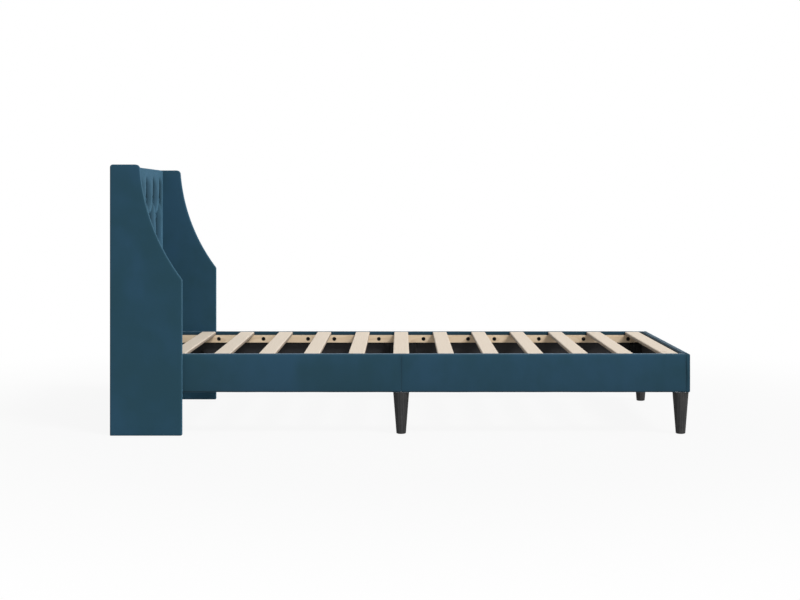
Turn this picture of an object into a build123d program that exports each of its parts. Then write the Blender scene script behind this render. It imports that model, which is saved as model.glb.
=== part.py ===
from build123d import *
import os

# Upholstered single bed: tufted wing headboard, padded rails, slats on ledgers, tapered legs.
# Lengths are in millimetres. +X runs from the headboard to the foot, +Z is up.
# Left is -Y and right is +Y, as seen from the foot. The origin is on the floor,
# under the middle of the whole bed.

# Mattress and the bay that takes it
mattress_length = 2000
mattress_width = 900
length_play = 32
width_play = 15

# Heights
bed_height = 977
rail_underside = 153
rail_height = 138.5

# Velvet covers
edge_radius = 4.5
fold_thickness = 1
staple_hem = 5

# Wings
wing_depth = 258.5
wing_thickness = 28
wing_pad = 4
wing_top_depth = 105
wing_shoulder_height = 561
wing_curve_radius = 763
wing_back_corner_radius = 10
wing_top_corner_radius = 16
wing_shoulder_radius = 12
wing_foot_corner_radius = 6
wing_slot_margin = 20

# Headboard, from the wings' back edges to the front of its smooth border
headboard_depth = 33
headboard_recess = 5
headboard_side_gap = 2
headboard_floor_gap = 12
headboard_wrap = 2
back_cloth_thickness = 1
headboard_board_thickness = 12
headboard_foam_thickness = 4
headboard_border_radius = 8

# Tufting: six pleats run down to the top row of buttons, five run down from the lower row
tuft_columns = 6
border_height = 27
upper_row_drop = 126
row_spacing = 68
plain_panel_rise = 6
pleat_run_out = 34
pleat_run_in = 40
pleat_depth = 7.5
pleat_gap = 4
pleat_start_depth = 0.5
pleat_start_gap = 1
tuft_crown = 8
tuft_tip_rise = 0.8
pad_side_depth = 3
pad_foot_depth = 2.5
cover_floor = 2

# Covered buttons
button_radius = 10.5
button_rim = 3
button_dome = 2.5
button_stem_radius = 1.5

# Rails
rail_thickness = 28
foot_rail_thickness = 30
foot_lap = 15.6
rail_pad = 5
rail_top_pad = 3
rail_bottom_pad = 2
rail_board_radius = 3
rail_hem_height = 20

# Ledgers and slats
ledger_count = 3
ledger_thickness = 20
ledger_height = 30
ledger_end_gap = 1
ledger_bolt_count = 4
ledger_bolt_spacing_share = 0.2787
slat_count = 13
slat_width = 59
slat_thickness = 14
slat_edge_radius = 4
slat_end_gap = 2
slat_edge_gap = 7

# Joint blocks inside the frame
block_thickness = 30
block_length = 45
mid_block_length = 124
block_drop = 3.6
joint_bolt_low = 20
joint_bolt_rise = 44

# Legs
leg_top_diameter = 58.5
leg_bottom_diameter = 34.5
leg_inset = 30
leg_bottom_radius = 2
glide_radius = 13
glide_thickness = 3
glide_proud = 1
leg_plate_size = 50
leg_plate_hole_offset = 19
leg_plate_boss_radius = 6.5
leg_plate_boss_height = 10
leg_bore_radius = 7
hanger_bolt_grip = 40
hanger_bolt_rise = 10

# Machine bolts and tee nuts
bolt_radius = 4
bolt_head_radius = 8
bolt_head_height = 8
bolt_socket_width = 6
bolt_socket_depth = 4
bolt_end_gap = 2
counterbore_radius = 8.5
counterbore_depth = 12
tee_flange_radius = 11
tee_flange_thickness = 1.5
tee_barrel_radius = 5
tee_barrel_length = 9

# Wood screws
screw_radius = 2.25
screw_head_radius = 4.5
screw_head_height = 2.5
short_screw_length = 14
block_screw_length = 50
block_screw_spacing = 24
mid_screw_spacing = 80
block_screw_low = 9
block_screw_rise = 66

# Angle brackets between the wings and the headboard
bracket_thickness = 2
bracket_leg = 30
bracket_sunk_leg = 24
bracket_height = 40
bracket_screw_spacing = 22
bracket_screw_inset = 10
bracket_height_shares = (0.09, 0.49, 0.88)

# Bolts from the side rails into the wings
wing_bolt_inset = 65
wing_bolt_front_inset = 52
wing_bolt_rise = 47

# Clearances
hole_clearance = 0.2
button_clearance = 0.3

# Overrun for cuts
overrun = 20

# Places worked out from the sizes above
bay_length = mattress_length + length_play
bay_width = mattress_width + width_play
bed_length = headboard_depth + bay_length + foot_rail_thickness
back_x = -bed_length / 2
front_x = back_x + headboard_depth
foot_x = front_x + bay_length
end_x = foot_x + foot_rail_thickness
lap_x = end_x - foot_lap
bay_x = (front_x + foot_x) / 2
inner_y = bay_width / 2
outer_y = inner_y + rail_thickness
wing_y = outer_y + wing_thickness
rail_top = rail_underside + rail_height
ledger_top = rail_top - slat_thickness
ledger_bottom = ledger_top - ledger_height
ledger_middle = (ledger_top + ledger_bottom) / 2
board_bottom = rail_underside + rail_bottom_pad
board_top = rail_top - rail_top_pad
board_inner_y = inner_y + fold_thickness
board_outer_y = outer_y - rail_pad
foot_board_inner_x = foot_x + fold_thickness
foot_board_outer_x = end_x - rail_pad
hem_bottom = rail_top - rail_hem_height
block_top = ledger_bottom - block_drop
headboard_back_x = back_x + headboard_recess
board_back_x = headboard_back_x + back_cloth_thickness
board_front_x = board_back_x + headboard_board_thickness
cover_back_x = board_front_x + headboard_foam_thickness
headboard_half = outer_y - headboard_side_gap
headboard_core_half = headboard_half - headboard_wrap
headboard_core_top = bed_height - headboard_wrap
tuft_pitch = 2 * headboard_half / tuft_columns
upper_row_z = bed_height - upper_row_drop
lower_row_z = upper_row_z - row_spacing
pleat_top_z = bed_height - border_height
pad_foot_z = rail_top + plain_panel_rise
button_seat_x = cover_back_x + cover_floor
button_stem_length = button_seat_x - board_back_x
leg_y = outer_y - leg_inset
foot_leg_x = end_x - leg_inset
leg_places = [(x, side * leg_y) for x in (bay_x, foot_leg_x) for side in (-1, 1)]


def block(x_low, x_high, y_low, y_high, z_low, z_high):
    """A box between two corners."""
    middle = Pos((x_low + x_high) / 2, (y_low + y_high) / 2, (z_low + z_high) / 2)
    return middle * Box(x_high - x_low, y_high - y_low, z_high - z_low)


def rod(x, y, z, radius, length, axis):
    """A cylinder that starts at a point and runs along an axis."""
    return Plane(origin=(x, y, z), z_dir=axis) * Cylinder(
        radius, length, align=(Align.CENTER, Align.CENTER, Align.MIN)
    )


def mirrored(shape):
    """The same shape on the other side of the bed."""
    return mirror(shape, about=Plane.XZ)


def save(name, *shapes):
    """Write the separate solids of one node."""
    solids = [solid for shape in shapes for solid in shape.solids()]
    node = solids[0] if len(solids) == 1 else Compound(children=solids)
    export_step(node, f"parts/{name}.step")


def save_sides(name, shape):
    """Write a right-hand piece and its mirrored left-hand twin."""
    save(f"{name}_right", shape)
    save(f"{name}_left", mirrored(shape))


def save_pairs(name, shapes):
    """Write right-hand pieces together with their mirrored left-hand twins as one node."""
    save(name, *shapes, *[mirrored(shape) for shape in shapes])


# Bolt, nut and screw places on the right-hand side

ledger_share = bay_length / ledger_count
ledger_length = ledger_share - ledger_end_gap
ledger_centres = [front_x + ledger_share * (number + 1 / 2) for number in range(ledger_count)]
ledger_bolt_spacing = ledger_bolt_spacing_share * ledger_share
ledger_bolt_shifts = [
    ledger_bolt_spacing * (number - (ledger_bolt_count - 1) / 2) for number in range(ledger_bolt_count)
]
ledger_bolt_xs = [centre + shift for centre in ledger_centres for shift in ledger_bolt_shifts]
ledger_bolt_seat_y = inner_y - ledger_thickness + counterbore_depth

head_block_end_x = front_x + block_length
foot_block_end_x = foot_x - block_length
joint_bolt_y = inner_y - block_thickness / 2
joint_bolt_zs = [board_bottom + joint_bolt_low + rise for rise in (0, joint_bolt_rise)]
wing_bolt_z = board_bottom + wing_bolt_rise
wing_bolt_xs = [front_x + wing_bolt_inset, back_x + wing_depth - wing_bolt_front_inset]
wing_board_inner_y = outer_y + wing_pad
wing_board_outer_y = wing_y - wing_pad

block_screw_y = inner_y - block_thickness
block_screw_zs = [board_bottom + block_screw_low + rise for rise in (0, block_screw_rise)]
block_screw_spots = [
    (centre + side * spacing / 2, z)
    for centre, spacing in (
        (front_x + block_length / 2, block_screw_spacing),
        (bay_x, mid_screw_spacing),
        (foot_x - block_length / 2, block_screw_spacing),
    )
    for side, z in zip((-1, 1), block_screw_zs)
]

leg_xs = (bay_x, foot_leg_x)
leg_plate_spots = [
    (x + i * leg_plate_hole_offset, leg_y + j * leg_plate_hole_offset)
    for x in leg_xs for i in (-1, 1) for j in (-1, 1)
]

bracket_zs = [share * bed_height for share in bracket_height_shares]
bracket_back_x = headboard_back_x - bracket_thickness
bracket_screw_zs = [z + side * bracket_screw_spacing / 2 for z in bracket_zs for side in (-1, 1)]
bracket_wing_screw_x = headboard_back_x + bracket_sunk_leg - bracket_screw_inset
bracket_board_screw_y = outer_y - bracket_leg + bracket_screw_inset


# Fasteners

def cap_bolt(x, y, z, length, axis):
    """Socket-head bolt whose head rests on the point."""
    start = Vector(x, y, z) - Vector(*axis) * bolt_head_height
    head = rod(start.X, start.Y, start.Z, bolt_head_radius, bolt_head_height, axis)
    hexagon = RegularPolygon(bolt_socket_width / 2, 6, major_radius=False)
    socket = extrude(Plane(origin=start, z_dir=axis) * hexagon, bolt_socket_depth)
    return rod(x, y, z, bolt_radius, length, axis) + head - socket


def tee_nut_seat(x, y, z, axis):
    """The stepped hole that a flanged nut fills."""
    flange = rod(x, y, z, tee_flange_radius, tee_flange_thickness, axis)
    return flange + rod(x, y, z, tee_barrel_radius, tee_barrel_length, axis)


def tee_nut(x, y, z, axis):
    """Flanged nut sunk in a board, its barrel running along the axis from its flange."""
    bore = rod(x, y, z, bolt_radius + hole_clearance, tee_barrel_length, axis)
    return tee_nut_seat(x, y, z, axis) - bore


def screw(x, y, z, length, axis, clearance=0):
    """Countersunk screw, its head flush with the face that the point is on."""
    head = Plane(origin=(x, y, z), z_dir=axis) * Cone(
        screw_head_radius + clearance,
        screw_radius + clearance,
        screw_head_height,
        align=(Align.CENTER, Align.CENTER, Align.MIN),
    )
    return head + rod(x, y, z, screw_radius + clearance, length + clearance, axis)


def bolt_hole(x, y, z, length, axis):
    """Clearance hole along a bolt."""
    return rod(x, y, z, bolt_radius + hole_clearance, length, axis)


def ledger_bolt_holes():
    """Holes along the ledger bolts, as far as the rail boards' outer faces."""
    reach = board_outer_y - inner_y + ledger_thickness
    return [bolt_hole(x, inner_y - ledger_thickness, ledger_middle, reach, (0, 1, 0)) for x in ledger_bolt_xs]


def ledger_nut_seats():
    """Nut seats of the ledger bolts in the rail boards."""
    return [tee_nut_seat(x, board_outer_y, ledger_middle, (0, -1, 0)) for x in ledger_bolt_xs]


def joint_bolt_holes():
    """Holes along the bolts into the headboard and into the foot rail."""
    head_reach = head_block_end_x - board_back_x
    foot_reach = foot_board_outer_x - foot_block_end_x
    holes = [bolt_hole(board_back_x, joint_bolt_y, z, head_reach, (1, 0, 0)) for z in joint_bolt_zs]
    holes += [bolt_hole(foot_block_end_x, joint_bolt_y, z, foot_reach, (1, 0, 0)) for z in joint_bolt_zs]
    return holes


def wing_bolt_holes():
    """Holes along the bolts from the side rail into the wing."""
    reach = wing_board_outer_y - inner_y
    return [bolt_hole(x, inner_y, wing_bolt_z, reach, (0, 1, 0)) for x in wing_bolt_xs]


def block_screws(clearance=0):
    """Screws through the joint blocks into the side rail."""
    return [
        screw(x, block_screw_y, z, block_screw_length, (0, 1, 0), clearance) for x, z in block_screw_spots
    ]


def leg_plate_screws(clearance=0):
    """Screws up through the leg plates."""
    return [
        screw(x, y, rail_underside, short_screw_length, (0, 0, 1), clearance) for x, y in leg_plate_spots
    ]


def bracket_screws_in_wing(clearance=0):
    """Screws through the sunk legs of the angle brackets into the wing."""
    return [
        screw(bracket_wing_screw_x, headboard_half, z, short_screw_length, (0, 1, 0), clearance)
        for z in bracket_screw_zs
    ]


def bracket_screws_in_board(clearance=0):
    """Screws through the back legs of the angle brackets into the headboard."""
    return [
        screw(bracket_back_x, bracket_board_screw_y, z, short_screw_length, (1, 0, 0), clearance)
        for z in bracket_screw_zs
    ]


def leg_bores():
    """Bores in the wood around the threaded bosses of the leg plates."""
    depth = leg_plate_boss_height + hole_clearance
    return [rod(x, leg_y, board_bottom, leg_bore_radius, depth, (0, 0, 1)) for x in leg_xs]


def leg_plate_windows():
    """Windows for the leg plates in the covers' undersides."""
    half = leg_plate_size / 2
    return [
        block(x - half, x + half, leg_y - half, leg_y + half, rail_underside - overrun, board_bottom)
        for x in leg_xs
    ]


def cut(shape, tools):
    """Take away each tool whose bounding box meets the shape's."""
    limits = shape.bounding_box()
    for tool in tools:
        reach = tool.bounding_box()
        apart = (
            reach.min.X >= limits.max.X or reach.max.X <= limits.min.X
            or reach.min.Y >= limits.max.Y or reach.max.Y <= limits.min.Y
            or reach.min.Z >= limits.max.Z or reach.max.Z <= limits.min.Z
        )
        if not apart:
            shape = shape - tool
    return shape


# Wings

def wing_outline():
    """Side view of a wing: flat top, a hollow curve to the shoulder, then straight to the floor."""
    shoulder = (back_x + wing_depth, wing_shoulder_height)
    crown = (back_x + wing_top_depth, bed_height)
    hollow = RadiusArc(shoulder, crown, wing_curve_radius)
    rest = Polyline(crown, (back_x, bed_height), (back_x, 0), (back_x + wing_depth, 0), shoulder)
    outline = make_face(hollow + rest)
    rounded_corners = (
        ((back_x, bed_height), wing_back_corner_radius),
        (crown, wing_top_corner_radius),
        (shoulder, wing_shoulder_radius),
        ((back_x, 0), wing_foot_corner_radius),
        ((back_x + wing_depth, 0), wing_foot_corner_radius),
    )
    for corner, radius in rounded_corners:
        outline = fillet(outline.vertices().sort_by_distance((*corner, 0))[0], radius)
    return outline


def upright(outline, y_low, y_high):
    """Stand a side view up between two depths."""
    return extrude(Plane.XZ.offset(-y_high) * outline, y_high - y_low)


def wing_core():
    """The space inside the right wing's cover."""
    return upright(offset(wing_outline(), -wing_pad), wing_board_inner_y, wing_board_outer_y)


def wing_board():
    """Plywood panel of the right wing."""
    seats = [tee_nut_seat(x, wing_board_outer_y, wing_bolt_z, (0, -1, 0)) for x in wing_bolt_xs]
    return cut(wing_core(), seats + wing_bolt_holes() + bracket_screws_in_wing(hole_clearance))


def wing_cover():
    """Padded velvet around the right wing, stapled along its foot."""
    cover = upright(wing_outline(), outer_y, wing_y)
    rims = [edge for edge in cover.edges() if edge.bounding_box().size.Y < edge_radius]
    cover = fillet(rims, edge_radius) - wing_core()
    slot = block(
        back_x + wing_slot_margin, back_x + wing_depth - wing_slot_margin,
        wing_board_inner_y + staple_hem, wing_board_outer_y - staple_hem, 0, wing_pad,
    )
    return cut(cover - slot, wing_bolt_holes() + bracket_screws_in_wing(hole_clearance))


def wing_bracket(z):
    """Steel angle that ties the headboard to the right wing."""
    low = z - bracket_height / 2
    high = z + bracket_height / 2
    sunk_end = headboard_back_x + bracket_sunk_leg
    back_leg = block(bracket_back_x, headboard_back_x, outer_y - bracket_leg, outer_y, low, high)
    sunk_leg = block(bracket_back_x, sunk_end, headboard_half, outer_y, low, high)
    return cut(back_leg + sunk_leg, bracket_screws_in_wing() + bracket_screws_in_board())


# Headboard

def headboard_slab(x_low, x_high):
    """A full-size layer inside the headboard's cover."""
    slab = block(
        x_low, x_high, -headboard_core_half, headboard_core_half,
        headboard_floor_gap + headboard_wrap, headboard_core_top,
    )
    tools = joint_bolt_holes() + bracket_screws_in_board(hole_clearance)
    return cut(slab, tools + [mirrored(tool) for tool in tools] + button_stem_holes())


def headboard_board():
    """Plywood panel behind the padding."""
    seats = [tee_nut_seat(board_back_x, joint_bolt_y, z, (1, 0, 0)) for z in joint_bolt_zs]
    board = headboard_slab(board_back_x, board_front_x)
    return cut(board, seats + [mirrored(seat) for seat in seats])


def button_spots():
    """Places of the upper row's and the lower row's buttons."""
    upper = [(tuft_pitch * (number - (tuft_columns - 1) / 2), upper_row_z) for number in range(tuft_columns)]
    lower = [(tuft_pitch * (number - tuft_columns / 2), lower_row_z) for number in range(1, tuft_columns)]
    return upper + lower


def button_stem_holes():
    """Holes through the headboard's layers for the buttons' cords."""
    radius = button_stem_radius + button_clearance
    return [rod(board_back_x, y, z, radius, button_stem_length, (1, 0, 0)) for y, z in button_spots()]


def tuft_section(z, left, right, left_depth, right_depth, crest):
    """Level slice of a tuft: flat behind, an arc in front, its ends sunk behind the border."""
    start = (front_x - left_depth, left)
    finish = (front_x - right_depth, right)
    sides = Polyline(start, (cover_back_x, left), (cover_back_x, right), finish)
    swell = ThreePointArc(finish, (front_x + crest, (left + right) / 2), start)
    return Pos(0, 0, z) * make_face(sides + swell)


def tuft(*sections):
    """Padded swelling through level slices."""
    return loft([tuft_section(*section) for section in sections], ruled=True)


def upper_tuft(left, right):
    """Tuft between two pleats of the top row, drawn in to a button of the lower row."""
    middle = (left + right) / 2
    start = pleat_start_gap / 2
    gap = pleat_gap / 2
    tip_crest = tuft_tip_rise - pleat_depth
    full_depths = (pleat_depth, pleat_depth, tuft_crown)
    return tuft(
        (pleat_top_z, left + start, right - start, pleat_start_depth, pleat_start_depth, 0),
        (pleat_top_z - pleat_run_in, left + gap, right - gap, *full_depths),
        (upper_row_z, left + gap, right - gap, *full_depths),
        (lower_row_z, middle - gap, middle + gap, pleat_depth, pleat_depth, tip_crest),
    )


def edge_tuft():
    """Half tuft between the last pleat of the top row and the pad's right edge."""
    pleat = tuft_pitch * (tuft_columns - 1) / 2
    gap = pleat_gap / 2
    edge = headboard_half
    tip_crest = tuft_tip_rise - pleat_depth
    return tuft(
        (pleat_top_z, pleat + pleat_start_gap / 2, edge, pleat_start_depth, pleat_start_depth, 0),
        (pleat_top_z - pleat_run_in, pleat + gap, edge, pleat_depth, pad_side_depth, tuft_crown),
        (upper_row_z, pleat + gap, edge, pleat_depth, pad_side_depth, tuft_crown),
        (lower_row_z, edge - gap, edge, pleat_depth, pleat_depth, tip_crest),
    )


def lower_tuft(column):
    """Long tuft that widens from a top-row button and runs down to the foot of the pad."""
    gap = pleat_gap / 2
    start = pleat_start_gap / 2
    left = column - tuft_pitch / 2
    right = column + tuft_pitch / 2
    at_left_edge = column < -tuft_pitch * (tuft_columns - 2) / 2
    at_right_edge = column > tuft_pitch * (tuft_columns - 2) / 2
    left_side = (left, pad_side_depth) if at_left_edge else (left + gap, pleat_depth)
    right_side = (right, pad_side_depth) if at_right_edge else (right - gap, pleat_depth)
    tall_sides = (left_side[0], right_side[0], left_side[1], right_side[1], tuft_crown)
    foot_left = left if at_left_edge else left + start
    foot_right = right if at_right_edge else right - start
    foot_crest = tuft_tip_rise - pad_foot_depth
    tip_crest = tuft_tip_rise - pleat_depth
    return tuft(
        (upper_row_z, column - gap, column + gap, pleat_depth, pleat_depth, tip_crest),
        (lower_row_z, left + gap, right - gap, pleat_depth, pleat_depth, tuft_crown),
        (lower_row_z - pleat_run_in, *tall_sides),
        (pad_foot_z + pleat_run_out, *tall_sides),
        (pad_foot_z, foot_left, foot_right, pad_foot_depth, pad_foot_depth, foot_crest),
    )


def headboard_cover():
    """Velvet over the headboard: a smooth border, the tufted pad and a plain lower panel."""
    wrap = block(
        headboard_back_x, button_seat_x, -headboard_half, headboard_half, headboard_floor_gap, bed_height,
    )
    wrap -= block(
        headboard_back_x, cover_back_x, -headboard_core_half, headboard_core_half,
        headboard_floor_gap + headboard_wrap, headboard_core_top,
    )
    border = block(cover_back_x, front_x, -headboard_half, headboard_half, pleat_top_z, bed_height)
    brow = border.edges().filter_by(Axis.Y).group_by(Axis.Z)[-1].sort_by(Axis.X)[-1]
    border = fillet(brow, headboard_border_radius)
    panel = block(cover_back_x, front_x, -headboard_half, headboard_half, headboard_floor_gap, pad_foot_z)
    columns = [tuft_pitch * (number - (tuft_columns - 1) / 2) for number in range(tuft_columns)]
    cover = wrap + border + panel
    for left, right in zip(columns, columns[1:]):
        cover += upper_tuft(left, right)
    cover += edge_tuft()
    cover += mirrored(edge_tuft())
    for column in columns:
        cover += lower_tuft(column)
    pocket_radius = button_radius + button_clearance
    pockets = [rod(button_seat_x, y, z, pocket_radius, overrun, (1, 0, 0)) for y, z in button_spots()]
    bolts = joint_bolt_holes()
    return cut(cover, pockets + button_stem_holes() + bolts + [mirrored(bolt) for bolt in bolts])


def button(y, z):
    """Covered button: a low drum with a domed face, on a cord through the headboard."""
    crown = button_rim + button_dome
    dome_radius = (button_radius ** 2 + button_dome ** 2) / (2 * button_dome)
    sides = Polyline((0, crown), (0, 0), (button_radius, 0), (button_radius, button_rim))
    dome = RadiusArc((0, crown), (button_radius, button_rim), dome_radius)
    drum = revolve(Plane.XZ * make_face(sides + dome), Axis.Z)
    cord = rod(board_back_x, y, z, button_stem_radius, button_stem_length, (1, 0, 0))
    return Plane(origin=(button_seat_x, y, z), z_dir=(1, 0, 0)) * drum + cord


# Side rails, right-hand side

def rail_core(x_low, x_high):
    """The space inside a rail cover."""
    low = x_low + fold_thickness
    high = x_high - fold_thickness
    return block(low, high, board_inner_y, board_outer_y, board_bottom, board_top)


def side_rail_holes():
    """All holes that cross the side rail."""
    holes = ledger_bolt_holes() + wing_bolt_holes() + block_screws(hole_clearance)
    return holes + leg_plate_screws(hole_clearance) + leg_bores()


def rail_board(x_low, x_high):
    """Pine board of half a side rail."""
    board = rail_core(x_low, x_high)
    board = fillet(board.edges().filter_by(Axis.X), rail_board_radius)
    return cut(board, side_rail_holes() + ledger_nut_seats())


def rail_lining(x_low, x_high):
    """Thin black cloth on the inner face of half a side rail, below the velvet's hem."""
    lining = block(x_low, x_high, inner_y, board_inner_y, board_bottom, hem_bottom)
    return cut(lining, side_rail_holes())


def rail_cover(x_low, x_high):
    """Padded velvet around half a side rail, hemmed on the inner face."""
    cover = block(x_low, x_high, inner_y, outer_y, rail_underside, rail_top)
    cover = fillet(cover.edges(), edge_radius)
    core = fillet(rail_core(x_low, x_high).edges().filter_by(Axis.X), rail_board_radius)
    inner_face = block(x_low, x_high, inner_y, board_inner_y, board_bottom, hem_bottom)
    return cut(cover - core - inner_face, wing_bolt_holes() + leg_plate_windows() + leg_bores())


# Foot rail, its outer layer lapped over the side rails' ends

def foot_plan(inner_x, outer_x, layer_x, layer_half, full_half, z_low, z_high):
    """Two layers: a wide one outside and a narrow one between the side rails."""
    wide = block(layer_x, outer_x, -full_half, full_half, z_low, z_high)
    return wide + block(inner_x, layer_x, -layer_half, layer_half, z_low, z_high)


def foot_core():
    """The space inside the foot rail's cover."""
    return foot_plan(
        foot_board_inner_x, foot_board_outer_x, lap_x + fold_thickness,
        inner_y - fold_thickness, board_outer_y, board_bottom, board_top,
    )


def foot_rail_holes():
    """All holes that cross the foot rail, on both sides."""
    holes = joint_bolt_holes() + leg_bores() + leg_plate_screws(hole_clearance)
    return holes + [mirrored(hole) for hole in holes]


def foot_board():
    """Pine board of the foot rail."""
    seats = [tee_nut_seat(foot_board_outer_x, joint_bolt_y, z, (-1, 0, 0)) for z in joint_bolt_zs]
    return cut(foot_core(), foot_rail_holes() + seats + [mirrored(seat) for seat in seats])


def foot_lining():
    """Thin black cloth on the inner face of the foot rail."""
    lining = block(foot_x, foot_board_inner_x, -inner_y, inner_y, board_bottom, hem_bottom)
    return cut(lining, foot_rail_holes())


def foot_cover():
    """Padded velvet around the foot rail, hemmed on the inner face."""
    cover = foot_plan(foot_x, end_x, lap_x, inner_y, outer_y, rail_underside, rail_top)
    outer_edges = [
        edge for edge in cover.edges()
        if abs(edge.center().X - lap_x) > fold_thickness or abs(edge.center().Y) > inner_y + fold_thickness
    ]
    cover = fillet(outer_edges, edge_radius)
    inner_face = block(foot_x, foot_board_inner_x, -inner_y, inner_y, board_bottom, hem_bottom)
    tools = leg_plate_windows() + leg_bores()
    return cut(cover - foot_core() - inner_face, tools + [mirrored(tool) for tool in tools])


# Ledgers, slats and joint blocks

def ledger(centre):
    """Pine ledger along a side rail, counterbored for its bolts."""
    half = ledger_length / 2
    low_y = inner_y - ledger_thickness
    strip = block(centre - half, centre + half, low_y, inner_y, ledger_bottom, ledger_top)
    counterbores = [
        rod(x, low_y, ledger_middle, counterbore_radius, counterbore_depth, (0, 1, 0)) for x in ledger_bolt_xs
    ]
    return cut(strip, counterbores + ledger_bolt_holes())


def slat(x):
    """Pine slat across the bed, its long edges rounded."""
    half = slat_width / 2
    reach = inner_y - slat_end_gap
    strip = block(x - half, x + half, -reach, reach, ledger_top, rail_top)
    return fillet(strip.edges().filter_by(Axis.Y), slat_edge_radius)


def joint_block(x_low, x_high):
    """Pine block screwed to the side rail."""
    wood = block(x_low, x_high, block_screw_y, inner_y, board_bottom, block_top)
    tools = joint_bolt_holes() + block_screws(hole_clearance) + leg_bores()
    return cut(wood, tools + leg_plate_screws(hole_clearance))


# Legs, right-hand side

def leg(x):
    """Round tapered leg, bored for its hanger bolt and recessed for its glide."""
    base_z = glide_proud
    height = rail_underside - base_z
    foot_radius = leg_bottom_diameter / 2
    body = Pos(x, leg_y, base_z) * Cone(
        foot_radius, leg_top_diameter / 2, height, align=(Align.CENTER, Align.CENTER, Align.MIN)
    )
    body = fillet(body.edges().sort_by(Axis.Z)[0], leg_bottom_radius)
    recess = rod(x, leg_y, 0, glide_radius, glide_thickness, (0, 0, 1))
    grip = rod(x, leg_y, rail_underside - hanger_bolt_grip, bolt_radius, hanger_bolt_grip, (0, 0, 1))
    return body - recess - grip


def leg_glide(x):
    """Round glide let into the foot of a leg."""
    return rod(x, leg_y, 0, glide_radius, glide_thickness, (0, 0, 1))


def leg_plate(x):
    """Steel plate with a threaded boss."""
    half = leg_plate_size / 2
    plate = block(x - half, x + half, leg_y - half, leg_y + half, rail_underside, board_bottom)
    plate += rod(x, leg_y, board_bottom, leg_plate_boss_radius, leg_plate_boss_height, (0, 0, 1))
    reach = board_bottom - rail_underside + leg_plate_boss_height
    thread = bolt_hole(x, leg_y, rail_underside, reach, (0, 0, 1))
    return cut(plate - thread, leg_plate_screws())


def hanger_bolt(x):
    """Stud from the leg up into its plate."""
    start_z = rail_underside - hanger_bolt_grip
    return rod(x, leg_y, start_z, bolt_radius, hanger_bolt_grip + hanger_bolt_rise, (0, 0, 1))


# Fastener sets, right-hand side

def ledger_bolts():
    """Bolts through the ledgers."""
    length = board_outer_y - ledger_bolt_seat_y - bolt_end_gap
    return [cap_bolt(x, ledger_bolt_seat_y, ledger_middle, length, (0, 1, 0)) for x in ledger_bolt_xs]


def joint_bolts():
    """Bolts through the end blocks into the headboard and the foot rail."""
    head_length = head_block_end_x - board_back_x - bolt_end_gap
    foot_length = foot_board_outer_x - foot_block_end_x - bolt_end_gap
    bolts = []
    for z in joint_bolt_zs:
        bolts.append(cap_bolt(head_block_end_x, joint_bolt_y, z, head_length, (-1, 0, 0)))
        bolts.append(cap_bolt(foot_block_end_x, joint_bolt_y, z, foot_length, (1, 0, 0)))
    return bolts


def wing_bolts():
    """Bolts from the side rail into the wing."""
    length = wing_board_outer_y - inner_y - bolt_end_gap
    return [cap_bolt(x, inner_y, wing_bolt_z, length, (0, 1, 0)) for x in wing_bolt_xs]


def tee_nuts():
    """Nuts of all the bolts."""
    nuts = [tee_nut(x, board_outer_y, ledger_middle, (0, -1, 0)) for x in ledger_bolt_xs]
    nuts += [tee_nut(x, wing_board_outer_y, wing_bolt_z, (0, -1, 0)) for x in wing_bolt_xs]
    for z in joint_bolt_zs:
        nuts.append(tee_nut(board_back_x, joint_bolt_y, z, (1, 0, 0)))
        nuts.append(tee_nut(foot_board_outer_x, joint_bolt_y, z, (-1, 0, 0)))
    return nuts


def short_screws():
    """Screws of the angle brackets and the leg plates."""
    return bracket_screws_in_wing() + bracket_screws_in_board() + leg_plate_screws()


# Write every node

os.makedirs("parts", exist_ok=True)

save("headboard_board", headboard_board())
save("headboard_foam", headboard_slab(board_front_x, cover_back_x))
save("headboard_cover", headboard_cover())
save("headboard_back_cloth", headboard_slab(headboard_back_x, board_back_x))
save("headboard_buttons", *[button(y, z) for y, z in button_spots()])

save_sides("wing_board", wing_board())
save_sides("wing_cover", wing_cover())
save_pairs("wing_brackets", [wing_bracket(z) for z in bracket_zs])

rail_halves = (("head", front_x, bay_x), ("foot", bay_x, lap_x))
for name, x_low, x_high in rail_halves:
    save_sides(f"rail_board_{name}", rail_board(x_low, x_high))
    save_sides(f"rail_cover_{name}", rail_cover(x_low, x_high))
save_pairs("rail_linings", [rail_lining(x_low, x_high) for name, x_low, x_high in rail_halves])

save("foot_board", foot_board())
save("foot_cover", foot_cover())
save("foot_lining", foot_lining())

for name, centre in zip(("head", "mid", "foot"), ledger_centres):
    save_sides(f"ledger_{name}", ledger(centre))

first_slat_x = front_x + slat_edge_gap + slat_width / 2
slat_spacing = (bay_length - slat_width - 2 * slat_edge_gap) / (slat_count - 1)
for number in range(slat_count):
    save(f"slat_{number + 1:02d}", slat(first_slat_x + slat_spacing * number))

save_sides("head_block", joint_block(front_x, head_block_end_x))
save_sides("mid_block", joint_block(bay_x - mid_block_length / 2, bay_x + mid_block_length / 2))
save_sides("corner_block", joint_block(foot_block_end_x, foot_x))

for name, x in zip(("mid", "foot"), leg_xs):
    save_sides(f"leg_{name}", leg(x))
save_pairs("leg_plates", [leg_plate(x) for x in leg_xs])
save_pairs("hanger_bolts", [hanger_bolt(x) for x in leg_xs])
save_pairs("leg_glides", [leg_glide(x) for x in leg_xs])

save_pairs("ledger_bolts", ledger_bolts())
save_pairs("joint_bolts", joint_bolts())
save_pairs("wing_bolts", wing_bolts())
save_pairs("tee_nuts", tee_nuts())
save_pairs("block_screws", block_screws())
save_pairs("short_screws", short_screws())
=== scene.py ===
import math
from functools import partial

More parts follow.
